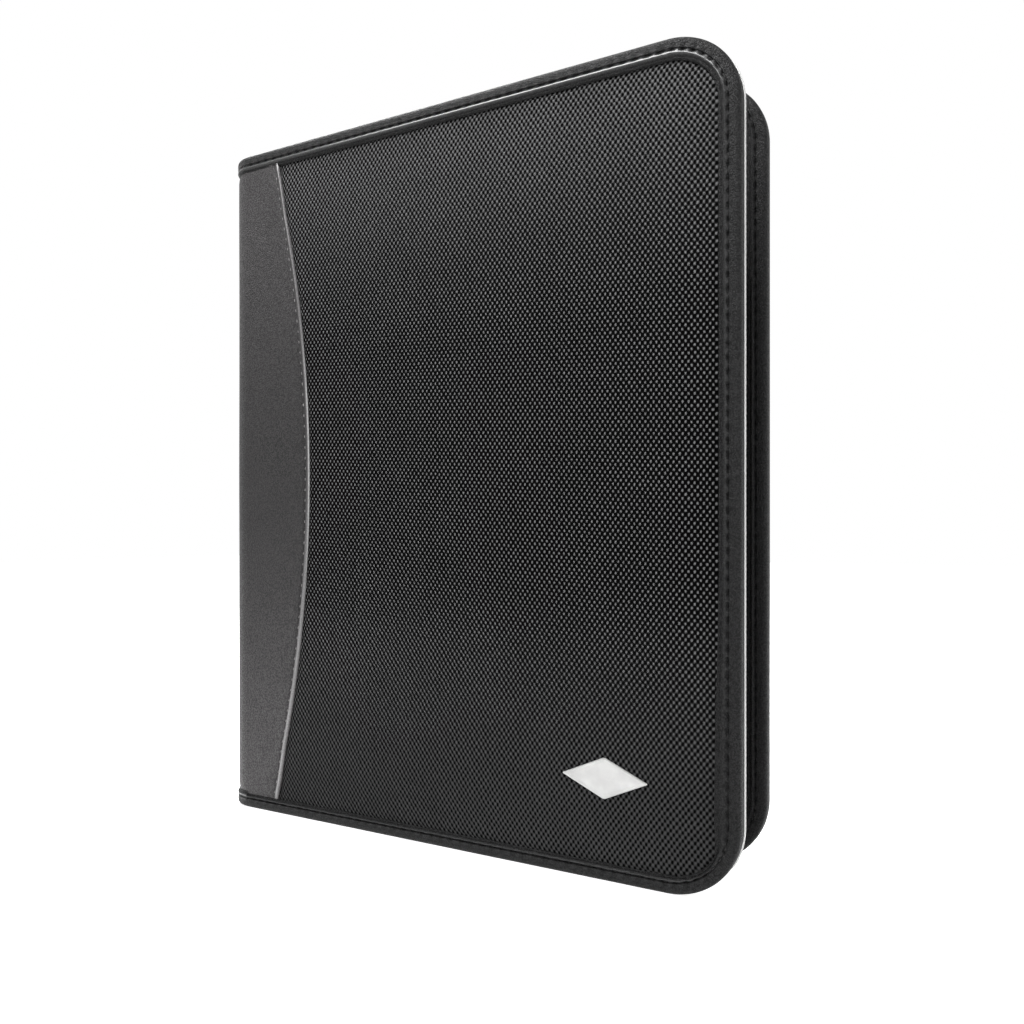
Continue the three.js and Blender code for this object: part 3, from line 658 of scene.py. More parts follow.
class Effects:
    """The node groups that the materials share, each built once."""

    def __init__(self) -> None:
        """Build all groups."""
        self.trees = {Effect.WEAVE: self._weave(), Effect.GRAIN: self._grain(),
                      Effect.CLOTH: self._cloth(), Effect.MOTTLE: self._mottle()}

    @staticmethod
    def _weave() -> bpy.types.NodeTree:
        """Coarse nylon: staggered slanted yarn ends with a hole between each four. The light yarn
        ends are partly painted sheen and the near-black holes painted shade.

        Which diagonal stands out turns across the panel, as painted shading. Painted light from
        above widens the yarn ends near the top and lightens the net of threads toward the top;
        low down, and a little at the top, painted light blends the yarn ends into that net.

        Returns:
            The group's tree.
        """
        g = Group(Effect.WEAVE, Across=1.89, Up=1.285, Skew=0.058)
        place = g.given("Vector")
        x, y, z = g.split(place)
        shift = (g.noise(place, 0.35, 1.0) - 0.5) * 0.5
        level = z + x * g.given("Skew") + shift
        up = level / g.given("Up") * math.pi
        across = (x + abs(y) + shift) / g.given("Across") * (2 * math.pi)
        rising = g.math("COSINE", across - up)
        falling = g.math("COSINE", across + up)
        # Painted shading: which diagonal stands out changes with height and across the panel.
        lean = g.ramp(z, 50.0, 160.0, g.ramp(x, -20.0, 90.0, 0.36, 0.55), 0.53)
        checks = falling + (rising - falling) * lean
        ends = checks + (g.noise(place, 2.2, 2.0) - 0.5) * 0.5
        # Painted light by height: the yarn ends widen towards both ends of the case, most near
        # the top.
        away = abs(z - S.middle_z)
        raised = g.ramp(z, S.middle_z + 70.0, S.middle_z + 125.0, 0.0, -0.26)
        painted_light_threshold = g.ramp(away, 42.0, 72.0, 0.08, -0.06) + raised
        spots = g.ramp(ends, painted_light_threshold, raised * 0.8 + 0.9)
        # Painted light: low down and near the top the yarn ends blend into the net of threads,
        # which is painted lighter toward the top.
        closed = g.ramp(z, 15.0, 110.0, 0.86, 0.06) + g.ramp(z, 190.0, 250.0, 0.0, 0.3)
        net = g.ramp(ends, -0.75, 0.2) * g.ramp(z, 90.0, 210.0, 0.2, 0.38)
        mask = spots + (net - spots) * closed
        height = g.ramp(ends, -0.9, 1.0) * (1.0 - closed * 0.6)
        return g.give(mask, height)

    @staticmethod
    def _grain() -> bpy.types.NodeTree:
        """Leather grain: small cells with soft creases between them.

        Returns:
            The group's tree.
        """
        g = Group(Effect.GRAIN, Cells=1.4)
        place = g.given("Vector")
        bent = g.get("ShaderNodeVectorMath", 0, {
            0: place, 1: g.noise(place, 0.8, 2.0, output="Color")}, operation="ADD")
        gap = g.get("ShaderNodeTexVoronoi", "Distance", {
            "Vector": bent, "Scale": g.given("Cells")}, feature="DISTANCE_TO_EDGE")
        crease = g.ramp(gap, 0.0, 0.22)
        fine = g.noise(place, 5.0, 3.0)
        blotch = g.noise(place, 1.7, 1.0, 0.6)
        tone = g.ramp(blotch, 0.37, 0.63)
        return g.give(crease * 0.2 + tone * 0.8, crease * 0.5 + fine * 0.3 + blotch)

    @staticmethod
    def _cloth() -> bpy.types.NodeTree:
        """Fine plain weave: crossing ribs in two directions.

        Returns:
            The group's tree.
        """
        g = Group(Effect.CLOTH, Threads=9.0)
        x, y, z = g.split(g.given("Vector"))
        warp = g.math("SINE", (x + y) * g.given("Threads"))
        weft = g.math("SINE", z * g.given("Threads"))
        ribs = g.ramp(warp * weft, -1.0, 1.0)
        return g.give(ribs, ribs)

    @staticmethod
    def _mottle() -> bpy.types.NodeTree:
        """Slow mottling, with lighter worn spots.

        Returns:
            The group's tree.
        """
        g = Group(Effect.MOTTLE, Size=25.0)
        broad = g.noise(g.given("Vector"), g.math("DIVIDE", 1.0, g.given("Size")), 4.0, 0.6)
        return g.give(g.ramp(broad, 0.35, 0.7), broad)


# Finishes


@dataclass(frozen=True)
class Finish:
    """How a surface looks: colours, gloss and the relief that it carries.

    Where crest is above 0, the crest marks paint a highlight into the colour and add gloss,
    and marks below 0 paint shade. Where middle is below 1, painted shade makes the surface
    darker at the middle of the case's height than at its ends.
    """

    name: str
    slot: str
    dark: Triple
    light: Triple
    rough: Pair
    effect: Effect
    scale: Optional[float] = None
    relief: float = 0.1
    mottle: float = 0.15
    metal: float = 0.0
    coat: float = 0.0
    specular: float = 0.5
    crest: float = 0.0
    crest_polish: float = 0.65
    crest_coat_rough: float = 0.28
    crest_coat_ior: float = 1.8
    middle: float = 1.0
    ends: float = 1.03
    shade_zone: Pair = (10.0, 105.0)

    def material(self, effects: Effects) -> bpy.types.Material:
        """Build the finish's material.

        Args:
            effects: The shared node groups.

        Returns:
            The material.
        """
        material, g, shader = new_material(self.name)
        place = g.position()
        mask, height = g.pattern(effects.trees[self.effect], place, self.scale)
        slow, _ = g.pattern(effects.trees[Effect.MOTTLE], place)
        shade = slow * self.mottle + (1.0 - self.mottle / 2)
        # Painted shade: darker at the middle of the case's height than at its ends.
        if self.middle < 1.0:
            away = abs(g.split(place)[2] - S.middle_z)
            shade = shade * g.ramp(away, *self.shade_zone, self.middle, self.ends)
        rough = g.ramp(mask, 0.0, 1.0, *self.rough)
        coat: Dict[str, Number] = {"Coat Weight": self.coat}
        # Crest marks paint a highlight into the colour where above 0 and shade where below 0;
        # they also lower roughness and add a glossy coat.
        if self.crest:
            highlight_and_gloss = g.get("ShaderNodeAttribute", "Fac", attribute_name="crest") * self.crest
            shade = shade * (highlight_and_gloss + 1.0)
            rough = rough * (1.0 - highlight_and_gloss * self.crest_polish)
            coat = {"Coat Weight": g.math("MAXIMUM", highlight_and_gloss, 0.0),
                    "Coat Roughness": self.crest_coat_rough, "Coat IOR": self.crest_coat_ior}
        base = g.mix(mask, (*self.dark, 1), (*self.light, 1))
        bump = g.get("ShaderNodeBump", "Normal", {
            "Height": height, "Strength": 1.0, "Distance": self.relief * MM})
        g.fill(shader, {
            "Base Color": g.mix(1.0, base, g.grey(shade), "MULTIPLY"), "Roughness": rough,
            "Normal": bump, "Metallic": self.metal, "Specular IOR Level": self.specular, **coat})
        return material


@dataclass(frozen=True)
class Paper:
    """Paper with faint ruled lines on the front and leaf edges at the sides, with painted shade
    in the gaps between leaves.
    """

    name: str = "ruled_paper"
    slot: str = "paper"
    page: Triple = (0.86, 0.85, 0.81)
    rule: Triple = (0.45, 0.56, 0.68)
    leaf: Triple = (0.84, 0.83, 0.79)
    # Painted shade in the gaps between the leaves.
    leaf_gap_shade: Triple = (0.5, 0.49, 0.46)
    rule_pitch: float = 7.1
    rule_share: Pair = (0.035, 0.015)
    leaves_per_mm: float = 9.0
    gap_share: float = 0.35
    rough: float = 0.85

    def material(self, _effects: Effects) -> bpy.types.Material:
        """Build the paper's material.

        Args:
            _effects: The shared node groups, which paper doesn't use.

        Returns:
            The material.
        """
        material, g, shader = new_material(self.name)
        _, y, z = g.split(g.position())
        line = g.ramp(abs(g.math("FRACT", z / self.rule_pitch) - 0.5), *self.rule_share)
        # Painted shade in the thin gaps between the leaves.
        leaf = g.ramp(g.math("FRACT", y * self.leaves_per_mm), 0.0, self.gap_share)
        front = abs(g.split(g.get("ShaderNodeTexCoord", "Normal"))[1])
        ruled = g.mix(line, (*self.page, 1), (*self.rule, 1))
        edges = g.mix(leaf, (*self.leaf_gap_shade, 1), (*self.leaf, 1))
        g.fill(shader, {"Base Color": g.mix(g.ramp(front, 0.4, 0.6), edges, ruled),
                        "Roughness": self.rough})
        return material


AnyFinish = Union[Finish, Paper]

# Both nylons take the weave's painted sheen on the yarn ends, painted shade in the holes and
# painted light by height.
COARSE_NYLON = Finish(
    "coarse_nylon", "nylon", (0.0001, 0.0001, 0.0001), (0.147, 0.147, 0.149),
    (0.85, 0.5), Effect.WEAVE, relief=0.75, mottle=0.1, specular=0.02)
INNER_NYLON = Finish(
    "inner_nylon", "lining", (0.001, 0.001, 0.0011), (0.06, 0.06, 0.062),
    (0.85, 0.55), Effect.WEAVE, relief=0.3, mottle=0.1, specular=0.1)
# Its crest marks paint a highlight on the bead and shade in the stitch pits.
BLACK_LEATHER = Finish(
    "black_leather", "leather", (0.0006, 0.0006, 0.0007), (0.0122, 0.0122, 0.0125),
    (0.6, 0.46), Effect.GRAIN, 1.3, relief=0.25, specular=0.12, crest=0.9)
POCKET_LEATHER = Finish(
    "pocket_leather", "leather", (0.006, 0.006, 0.0065), (0.016, 0.016, 0.017),
    (0.55, 0.42), Effect.GRAIN, 1.2, relief=0.08)
# Its crest marks paint a highlight on the folded edge; middle paints shade at the middle of the
# case's height.
GREY_LEATHER = Finish(
    "grey_leather", "grey", (0.011, 0.0104, 0.0107), (0.045, 0.0423, 0.0435),
    (0.6, 0.46), Effect.GRAIN, 1.3, relief=0.14, mottle=0.14, specular=0.2, crest=0.9,
    middle=0.5)
BLACK_THREAD = Finish(
    "black_thread", "leather", (0.004, 0.004, 0.004), (0.02, 0.02, 0.02),
    (0.6, 0.45), Effect.CLOTH, 16.0, relief=0.05)
GREY_THREAD = Finish(
    "grey_thread", "grey", (0.12, 0.117, 0.118), (0.3, 0.29, 0.293),
    (0.65, 0.5), Effect.CLOTH, 16.0, relief=0.05)
# A pale strip whose colour is a painted highlight along the front cover's fore-edge.
PAINTED_HIGHLIGHT_STRIP = Finish(
    "pale_highlight_strip", "welt", (0.42, 0.42, 0.415), (0.6, 0.6, 0.59),
    (0.55, 0.4), Effect.CLOTH, 4.0, relief=0.03, mottle=0.1)
SATIN_PLATE = Finish(
    "satin_plate", "metal", (0.35, 0.35, 0.346), (0.38, 0.38, 0.375),
    (0.42, 0.3), Effect.MOTTLE, 6.0, relief=0.01, metal=0.55, coat=0.1)
MOULDED_PLASTIC = Finish(
    "moulded_plastic", "plastic", (0.012, 0.012, 0.013), (0.022, 0.022, 0.023),
    (0.5, 0.38), Effect.GRAIN, 3.2, relief=0.03, mottle=0.05)
RIBBED_RUBBER = Finish(
    "ribbed_rubber", "rubber", (0.016, 0.016, 0.016), (0.03, 0.03, 0.03),
    (0.9, 0.75), Effect.GRAIN, 3.0, relief=0.05)
BRIGHT_STEEL = Finish(
    "bright_steel", "steel", (0.45, 0.46, 0.47), (0.62, 0.63, 0.64),
    (0.34, 0.22), Effect.MOTTLE, 3.0, relief=0.01, metal=1.0)
GREYBOARD = Finish(
    "greyboard", "board", (0.2, 0.17, 0.13), (0.32, 0.28, 0.22),
    (0.95, 0.85), Effect.MOTTLE, 2.0, relief=0.05)
PAD_CARD = Finish(
    "pad_card", "card", (0.3, 0.25, 0.18), (0.45, 0.39, 0.3),
    (0.95, 0.85), Effect.MOTTLE, 2.0, relief=0.03)
HEAD_TAPE = Finish(
    "head_tape", "tape", (0.012, 0.012, 0.016), (0.035, 0.035, 0.042),
    (0.85, 0.7), Effect.CLOTH, 7.0, relief=0.1)
WOVEN_ELASTIC = Finish(
    "woven_elastic", "elastic", (0.006, 0.006, 0.006), (0.02, 0.02, 0.02),
    (0.95, 0.8), Effect.CLOTH, 5.0, relief=0.25)
RULED_PAPER = Paper()


class Paint:
    """Makes each finish's material once and puts it on pieces."""

    def __init__(self) -> None:
        """Build the shared node groups."""
        self.effects = Effects()
        self.made: Dict[str, bpy.types.Material] = {}

    def coat(self, piece: bpy.types.Object, finish: AnyFinish) -> None:
        """Give a piece a finish as its only material.

        Args:
            piece: The piece.
            finish: Its finish.
        """
        if finish.name not in self.made:
            self.made[finish.name] = finish.material(self.effects)
        piece.data.materials.clear()
        piece.data.materials.append(self.made[finish.name])

    def put(self, piece: bpy.types.Object, finish: AnyFinish) -> None:
        """Give a piece a finish."""
        self.coat(piece, finish)


@dataclass
class Assembly:
    """Common ground of the sub-assemblies: the paint and the pieces made so far.

    All sizes of the sub-assemblies are in millimetres.
    """

    paint: Paint
    pieces: List[bpy.types.Object] = field(default_factory=list, init=False)

    def keep(self, piece: bpy.types.Object, finish: AnyFinish, body: Optional[str],
             replaces: Sequence[str] = ()) -> None:
        """Finish a new piece, let it ride and let it stand for solids.

        Args:
            piece: The new object.
            finish: Its finish.
            body: Body that it rides on, or None where it rides on none.
            replaces: Solids that it stands for.
        """
        self.paint.put(piece, finish)
        if body is not None:
            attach(piece, body)
        if replaces:
            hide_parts(*replaces)
        self.pieces.append(piece)
        LOG.info("%s: %d faces", piece.name, len(piece.data.polygons))

    def dress(self, node: str, finish: AnyFinish, bevel: float = 0.0) -> None:
        """Give a rigid solid its finish and soften its edges.

        Args:
            node: Name of the solid.
            finish: Its finish.
            bevel: Width of its softened edges in millimetres.
        """
        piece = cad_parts[node]
        self.paint.coat(piece, finish)
        if bevel:
            modifier = piece.modifiers.new("soft_edges", "BEVEL")
            modifier.width = bevel * MM
            modifier.segments = 2
            modifier.limit_method = "ANGLE"
            modifier.angle_limit = math.radians(35)
            modifier.harden_normals = False
        self.pieces.append(piece)


# Binding

BEAD = ((5.8, 1.65), (6.9, 1.75), (7.05, 1.9), (6.9, 2.12), (6.68, 2.3), (6.5, 2.37),
        (6.32, 2.32), (6.1, 2.2), (5.85, 2.28), (5.68, 2.5), (5.5, 2.77), (5.32, 2.95),
        (5.1, 2.99), (4.92, 2.94), (4.7, 2.79), (4.48, 2.64), (4.26, 2.49), (4.06, 2.36),
        (3.92, 2.32), (3.82, 2.4), (3.74, 2.7))
INSIDE_OF_BINDING = ((4.6, -1.6), (2.7, -1.5), (2.7, 1.5), (4.6, 1.62))


def binding_section() -> List[Pair]:
    """Section of the binding: inset from the edge and height above the middle surface.

    Returns:
        A closed ring of points: the outer bead, the rolled edge, the inner bead and the
        inside.
    """
    steps, roll, gap, flat = 18, 3.62, 0.02, 0.985
    ring: List[Pair] = list(BEAD)
    for i in range(steps + 1):
        a = math.pi * i / steps
        height = math.copysign(math.sqrt(abs(math.cos(a))), math.cos(a)) * S.half_cover * flat
        ring.append((roll * (1 - math.sqrt(math.sin(a))) + gap, height))
    ring += [(inset, -height) for inset, height in reversed(BEAD)]
    return ring + list(INSIDE_OF_BINDING)


def crest_weights(section: Sequence[Pair]) -> List[float]:
    """How much painted highlight and gloss each point of the binding's section gets: most on the
    bead's outer slope.
    """
    return [bell(inset - 4.6, 0.7) if height > 0 else 0.0 for inset, height in section]


def stitch_wave(run: float) -> float:
    """A wave along the edge, from -1 to 1, with one crest in each stitch's pitch."""
    return math.cos(2 * math.pi * run / S.stitch_pitch)


def field_edge(in_x: float, in_z: float, z: float) -> float:
    """Inset where the padded field starts.

    It is wide at the top and low on the fore-edge, narrow at the bottom and in the
    lower corner.

    Args:
        in_x: X of the inward direction at the edge.
        in_z: Z of the inward direction at the edge.
        z: Height of the place.

    Returns:
        The inset in millimetres.
    """
    low = smooth_step(110.0, 25.0, z)
    share = (1.06 + 0.48 * low) * in_x ** 2 + (0.88 - 0.28 * in_z) * in_z ** 2
    if in_z > 0:
        share -= 0.96 * abs(2 * in_x * in_z) ** 1.5 * abs(in_x)
    return S.groove + S.bead_width * share


def pucker(inset: float, height: float, run: float, bend: float) -> Pair:
    """Draw the binding in at its stitches and wrinkle it round the corners.

    Args:
        inset: Inset of the section's point.
        height: Height of the section's point.
        run: Way along the edge.
        bend: 1 in a round corner, otherwise 0.

    Returns:
        The point's new inset and height.
    """
    if inset < 0.2 or abs(height) < 1.65:
        return inset, height
    sign = math.copysign(1.0, height)
    near = bell(inset - S.groove, 0.6)
    total = 2 * S.straight + S.height + (math.pi - 2) * S.corner
    firm = smooth_step(S.straight - 30.0, S.straight, min(run, total - run))
    slow = noise.noise(Vector((run * 0.09, sign * 3.0, inset * 0.2)))
    change = (0.12 + 0.26 * firm) * stitch_wave(run) * near - 0.06 * near + 0.06 * slow
    if bend:
        fine = noise.noise(Vector((run * 0.85, sign * 7.0, inset * 0.3)))
        change += 0.3 * fine * smooth_step(3.0, 5.0, inset)
    limit = S.half_cover - 0.01
    return inset, sign * min(limit, abs(height) + change)


def nearest_edge(x: float, z: float) -> Triple:
    """Find a cover's edge nearest to a point of it, the fold's end left out.

    Args:
        x: X of the point.
        z: Z of the point.

    Returns:
        The point's inset, and X and Z of the inward direction there.
    """
    centre_x, centre_z = S.fore_x - S.corner, clear_of_ends(z, S.corner)
    if x > centre_x and z != centre_z:
        off = math.hypot(x - centre_x, z - centre_z)
        return S.corner - off, (centre_x - x) / off, (centre_z - z) / off
    return min((S.fore_x - x, -1.0, 0.0), (z, 0.0, 1.0), (S.height - z, 0.0, -1.0))


@dataclass
class Cover(Assembly):
    """One cover: padded panel, lining, binding, stitches and its part of the grey wrap."""

    side: Side
    hidden_edge: float = 3.1
    edge_gaps: Tuple[float, ...] = (0.0, 1.4, 3.1, 3.9, 4.5, 5.2, 6.0, 7.0, 8.4, 10.0, 12.5,
                                    16.0, 21.0)
    seam_gaps: Tuple[float, ...] = (-3.0, -1.6, -0.7, -0.2, 0.15, 0.5, 0.9, 1.4, 2.0, 2.8,
                                    4.0, 6.0, 9.0)
    panel_back: float = 0.6
    panel_sunk: float = 0.45
    rim_rise: float = 0.3
    crown_rise: float = 0.54
    seam_depth: float = 0.4
    seam_width: float = 1.1
    corner_steps: int = 12
    side_steps: int = 24
    binding_step: float = 1.07
    wrap_rows: int = 132
    wrap_back: float = 1.6
    wrap_face: float = 2.58
    wrap_rim: Tuple[Pair, ...] = (
        (0.08, 1.6), (-0.04, 1.96), (-0.01, 2.2), (0.13, 2.44), (0.28, 2.69), (0.42, 2.91),
        (0.66, 2.99), (1.1, 2.99), (1.45, 2.9), (1.75, 2.66), (2.0, 2.36), (2.2, 2.28),
        (2.42, 2.42), (2.75, 2.66), (3.3, 2.72), (5.0, 2.68), (8.0, 2.58))
    wrap_seam: Pair = (2.2, 2.36)
    wrap_stitch_length: float = 1.4
    wrap_thread_radius: float = 0.2

    @property
    def name(self) -> str:
        """Name of the cover's body and the start of its pieces' names."""
        return self.side.cover

    def build(self) -> None:
        """Make all of the cover's soft pieces."""
        self.panel()
        self.lining()
        self.binding()
        for label, sign in (("outer", 1), ("inner", -1)):
            self.edge_stitches(label, sign)
        self.wrap()
        self.wrap_stitches()
        self.paint.put(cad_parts[f"{self.name}_board"], GREYBOARD)

    def point(self, x: float, height: float, z: float) -> Triple:
        """A point at a height above the cover's middle surface."""
        return x, self.side.value * (S.cover_middle + height), z

    def arc_x(self, z: float) -> float:
        """X of the grey wrap's bowed edge, which is a little flatter at its ends.

        Args:
            z: Height of the place.

        Returns:
            X in millimetres.
        """
        bow = S.wrap_middle - S.wrap_end
        half = S.middle_z - S.binding
        radius = (half ** 2 + bow ** 2) / (2 * bow)
        centre = S.spine_x + S.wrap_middle - radius
        flatter = 1.3 * smooth_step(26.0, 0.0, min(z, S.height - z) - S.binding)
        return centre + math.sqrt(radius ** 2 - (z - S.middle_z) ** 2) + flatter

    def panel_levels(self) -> List[float]:
        """Z of the panel's rows of points, which are closer beside the binding.

        Returns:
            The heights from the bottom up.
        """
        steps, last = 26, self.edge_gaps[-1]
        half = S.middle_z - self.hidden_edge
        rises = [last + (half - last) * k / steps for k in range(1, steps + 1)]
        low = [self.hidden_edge + rise for rise in (*self.edge_gaps, *rises)]
        return low + [S.height - z for z in reversed(low[:-1])]

    def panel_columns(self, z: float, seam: float) -> List[float]:
        """X of the points in one row of the panel, which are closer beside both seams.

        Args:
            z: Height of the row.
            seam: X of the wrap's edge there.

        Returns:
            X from the fold to the fore-edge.
        """
        covered, free = 4, 30
        reach = (S.corner - self.hidden_edge) ** 2 - (z - clear_of_ends(z, S.corner)) ** 2
        right = S.fore_x - S.corner + math.sqrt(max(0.0, reach))
        first, last = seam + self.seam_gaps[0], seam + self.seam_gaps[-1]
        near = right - self.edge_gaps[-1]
        xs = [S.fold_x + (first - S.fold_x) * k / covered for k in range(covered)]
        xs += [seam + gap for gap in self.seam_gaps]
        xs += [last + (near - last) * k / free for k in range(1, free)]
        return xs + [right - gap for gap in reversed(self.edge_gaps)]

    def panel_height(self, x: float, z: float, seam: float) -> float:
        """Height of the panel's face above the cover's middle surface.

        Args:
            x: X of the place.
            z: Z of the place.
            seam: X of the wrap's edge at that height.

        Returns:
            The height in millimetres.
        """
        inset, in_x, in_z = nearest_edge(x, z)
        inset += S.field_start - field_edge(in_x, in_z, z)
        rim = self.rim_rise * smooth_step(6.2, 9.2, inset)
        crown = self.crown_rise * smooth_step(7.5, 26.0, inset)
        drawn = self.seam_depth * bell(max(0.0, x - seam), self.seam_width, 1.5)
        return S.layer_top - self.panel_sunk + rim + crown - drawn * smooth_step(5.5, 9.0, inset)

    def panel(self) -> None:
        """The padded outer panel, crowned and drawn down at the binding and the wrap."""
        shown, hidden = [], []
        for z in self.panel_levels():
            seam = self.arc_x(clear_of_ends(z, S.binding))
            xs = self.panel_columns(z, seam)
            shown.append([self.point(x, self.panel_height(x, z, seam), z) for x in xs])
            hidden.append([self.point(x, self.panel_back, z) for x in xs])
        panel = sheet(f"{self.name}_padded_panel", shown, hidden, 40)
        self.keep(panel, COARSE_NYLON, self.name, [f"{self.name}_panel", f"{self.name}_foam"])

    def field_loop(self, inset: float, height: float) -> List[Triple]:
        """A closed loop round the cover's field, square at the fold and round at the fore-edge.

        Args:
            inset: Distance inside the cover's edge.
            height: Height above the cover's middle surface.

        Returns:
            The loop's points, always the same number of them.
        """
        r = max(0.5, S.corner - inset)
        centre, top = S.fore_x - inset - r, S.height - inset
        left = S.fold_x + 0.9 * max(0.0, inset - 8.0)
        points: List[Triple] = []

        def turn(centre_z: float, first: float) -> None:
            """Add the points of a corner.

            Args:
                centre_z: Z of its centre.
                first: Angle at its start.
            """
            for i in range(self.corner_steps + 1):
                a = first + QUARTER * i / self.corner_steps
                points.append(self.point(centre + r * math.cos(a), height,
                                         centre_z + r * math.sin(a)))

        def line(start: Pair, end: Pair, steps: range) -> None:
            """Add points of a straight line.

            Args:
                start: X and Z of its start.
                end: X and Z of its end.
                steps: Which of its evenly spaced points to add.
            """
            for t in (i / self.side_steps for i in steps):
                points.append(self.point(start[0] + (end[0] - start[0]) * t, height,
                                         start[1] + (end[1] - start[1]) * t))

        turn(inset + r, -QUARTER)
        line((centre + r, inset + r), (centre + r, top - r), range(1, self.side_steps))
        turn(top - r, 0.0)
        line((centre, top), (left, top), range(1, self.side_steps + 1))
        line((left, top), (left, inset), range(1, self.side_steps))
        line((left, inset), (centre, inset), range(self.side_steps))
        return points

    def lining(self) -> None:
        """The woven sheet inside the cover, a little wavy and tucked under the binding."""
        levels = ((self.hidden_edge, 0.7), (self.hidden_edge, 0.1), (6.4, 0.08), (7.4, 0.0),
                  (12.0, 0.02), (40.0, 0.0), (90.0, 0.01))
        loops = [self.field_loop(inset, rise - S.layer_top) for inset, rise in levels]
        self.keep(tube(f"{self.name}_inner_sheet", loops, 40), INNER_NYLON, self.name,
                  [f"{self.name}_lining"])

    def binding_ring(self, place: Station, section: Sequence[Pair],
                     low: float) -> List[Triple]:
        """The binding's section at one place of the edge.

        Args:
            place: The place.
            section: Insets and heights of the plain section.
            low: 1 low on the fore-edge, where the bead is flatter, otherwise 0.

        Returns:
            The ring's points.
        """
        share = (field_edge(place.in_x, place.in_z, place.z) - S.groove) / S.bead_width
        ring = []
        for inset, height in section:
            if inset > S.groove and height > 1.7:
                inset = S.groove + (inset - S.groove) * share
                height -= 0.7 * low * max(0.0, height - 2.5)
            ring.append(place.at(self.side, *pucker(inset, height, place.run, place.bend)))
        return ring

    def binding(self) -> None:
        """The binding round three edges, with painted highlight and gloss on its bead and painted
        shade in its stitch pits.
        """
        section = binding_section()
        weights = crest_weights(section)
        rings = []
        highlight_and_pit_shade: List[float] = []
        for place in edge_path(self.binding_step):
            low = smooth_step(130.0, 30.0, place.z) * place.in_x ** 2
            # Painted highlight: strongest on the top border, which faces the lamp above, some on
            # the bottom, least on the fore-edge and less again low down.
            gloss = 0.14 + 0.86 * max(0.0, -place.in_z) + 0.3 * max(0.0, place.in_z)
            gloss *= 1.0 - 0.8 * low
            # Painted shade darkens the leather in each stitch pit.
            pit_shade = 0.85 * max(0.0, -stitch_wave(place.run))
            highlight_and_pit_shade += [gloss * weight - pit_shade * bell(inset - S.groove, 0.45)
                      for weight, (inset, _) in zip(weights, section)]
            rings.append(self.binding_ring(place, section, low))
        binding = tube(f"{self.name}_edge_binding", rings)
        mark_crests(binding, highlight_and_pit_shade)
        self.keep(binding, BLACK_LEATHER, self.name, [f"{self.name}_binding"])

    def edge_stitches(self, label: str, sign: int) -> None:
        """A row of stitches in one of the binding's grooves.

        Args:
            label: Word in the row's name.
            sign: 1 on the cover's outside, -1 inside.
        """
        path = edge_path(0.5, S.groove)
        out = Vector((0, sign * self.side.value, 0))
        places: List[Stitch] = []
        due = S.stitch_pitch / 2
        for here, following in zip(path, path[1:]):
            if here.run >= due:
                due += S.stitch_pitch
                middle = Vector(here.at(self.side, 0, sign * S.thread_level))
                onward = Vector(following.at(self.side, 0, sign * S.thread_level))
                places.append((middle, (onward - middle).normalized(), out))
        row = thread_row(f"{self.name}_{label}_stitches", places, S.stitch_length,
                         S.thread_radius)
        self.keep(row, BLACK_THREAD, self.name)

    def wrap_row(self, z: float, edge: float) -> List[Triple]:
        """One row of points of the wrap's face.

        Args:
            z: Height of the row.
            edge: X of the wrap's edge there.

        Returns:
            The points from the folded rim to the fold of the case.
        """
        steps, (last, _) = 8, self.wrap_rim[-1]
        start = edge - last
        tuck = smooth_step(-0.3, 1.7, min(z, S.height - z) - S.binding)
        places = [(edge - inset, height) for inset, height in self.wrap_rim]
        for k in range(1, steps + 1):
            x = start + (S.fold_x - start) * k / steps
            places.append((x, self.wrap_face - 0.08 * smooth_step(start, S.fold_x, x)))
        row = []
        for x, height in places:
            ripple = 0.05 * noise.noise(Vector((x * 0.05, self.side.value, z * 0.03)))
            free = height + ripple * (height > 2.4)
            tucked = S.layer_top + (height - S.layer_top) * (0.25 + 0.75 * tuck) + ripple
            row.append(self.point(x, min(free, tucked), z))
        return row

    def wrap(self) -> None:
        """The grey wrap on the cover, with its folded edge, which gets a painted highlight and
        gloss, broader toward the bottom.
        """
        low, high = S.binding - S.wrap_tuck, S.height - S.binding + S.wrap_tuck
        shown, hidden = [], []
        crests: List[float] = []
        for i in range(self.wrap_rows + 1):
            z = low + (high - low) * i / self.wrap_rows
            edge = self.arc_x(z)
            row = self.wrap_row(z, edge)
            shown.append(row)
            hidden.append([self.point(min(x, edge - 0.1), self.wrap_back, z)
                           for x, _, _ in row])
            # Painted highlight along the folded edge, in a broader band toward the bottom.
            broad = 0.5 * smooth_step(170.0, 40.0, z)
            highlight_and_gloss = [bell(inset - 0.25 - broad, 0.4 + broad) for inset, _ in self.wrap_rim]
            crests += highlight_and_gloss + [0.0] * (2 * len(row) - len(highlight_and_gloss))
        wrap = sheet(f"{self.name}_grey_wrap", shown, hidden)
        mark_crests(wrap, crests)
        self.keep(wrap, GREY_LEATHER, self.name, [f"{self.name}_spine_wrap"])

    def wrap_stitches(self) -> None:
        """The row of short stitches beside the wrap's folded edge."""
        inset, height = self.wrap_seam
        ahead, clear = 0.5, 2.0
        out = Vector((0, self.side.value, 0))
        places: List[Stitch] = []
        z = S.binding + clear
        while z < S.height - S.binding - clear:
            here, onward = (Vector(self.point(self.arc_x(level) - inset, height, level))
                            for level in (z, z + ahead))
            places.append((here, (onward - here).normalized(), out))
            z += S.stitch_pitch
        row = thread_row(f"{self.name}_wrap_stitches", places, self.wrap_stitch_length,
                         self.wrap_thread_radius)
        self.keep(row, GREY_THREAD, self.name)


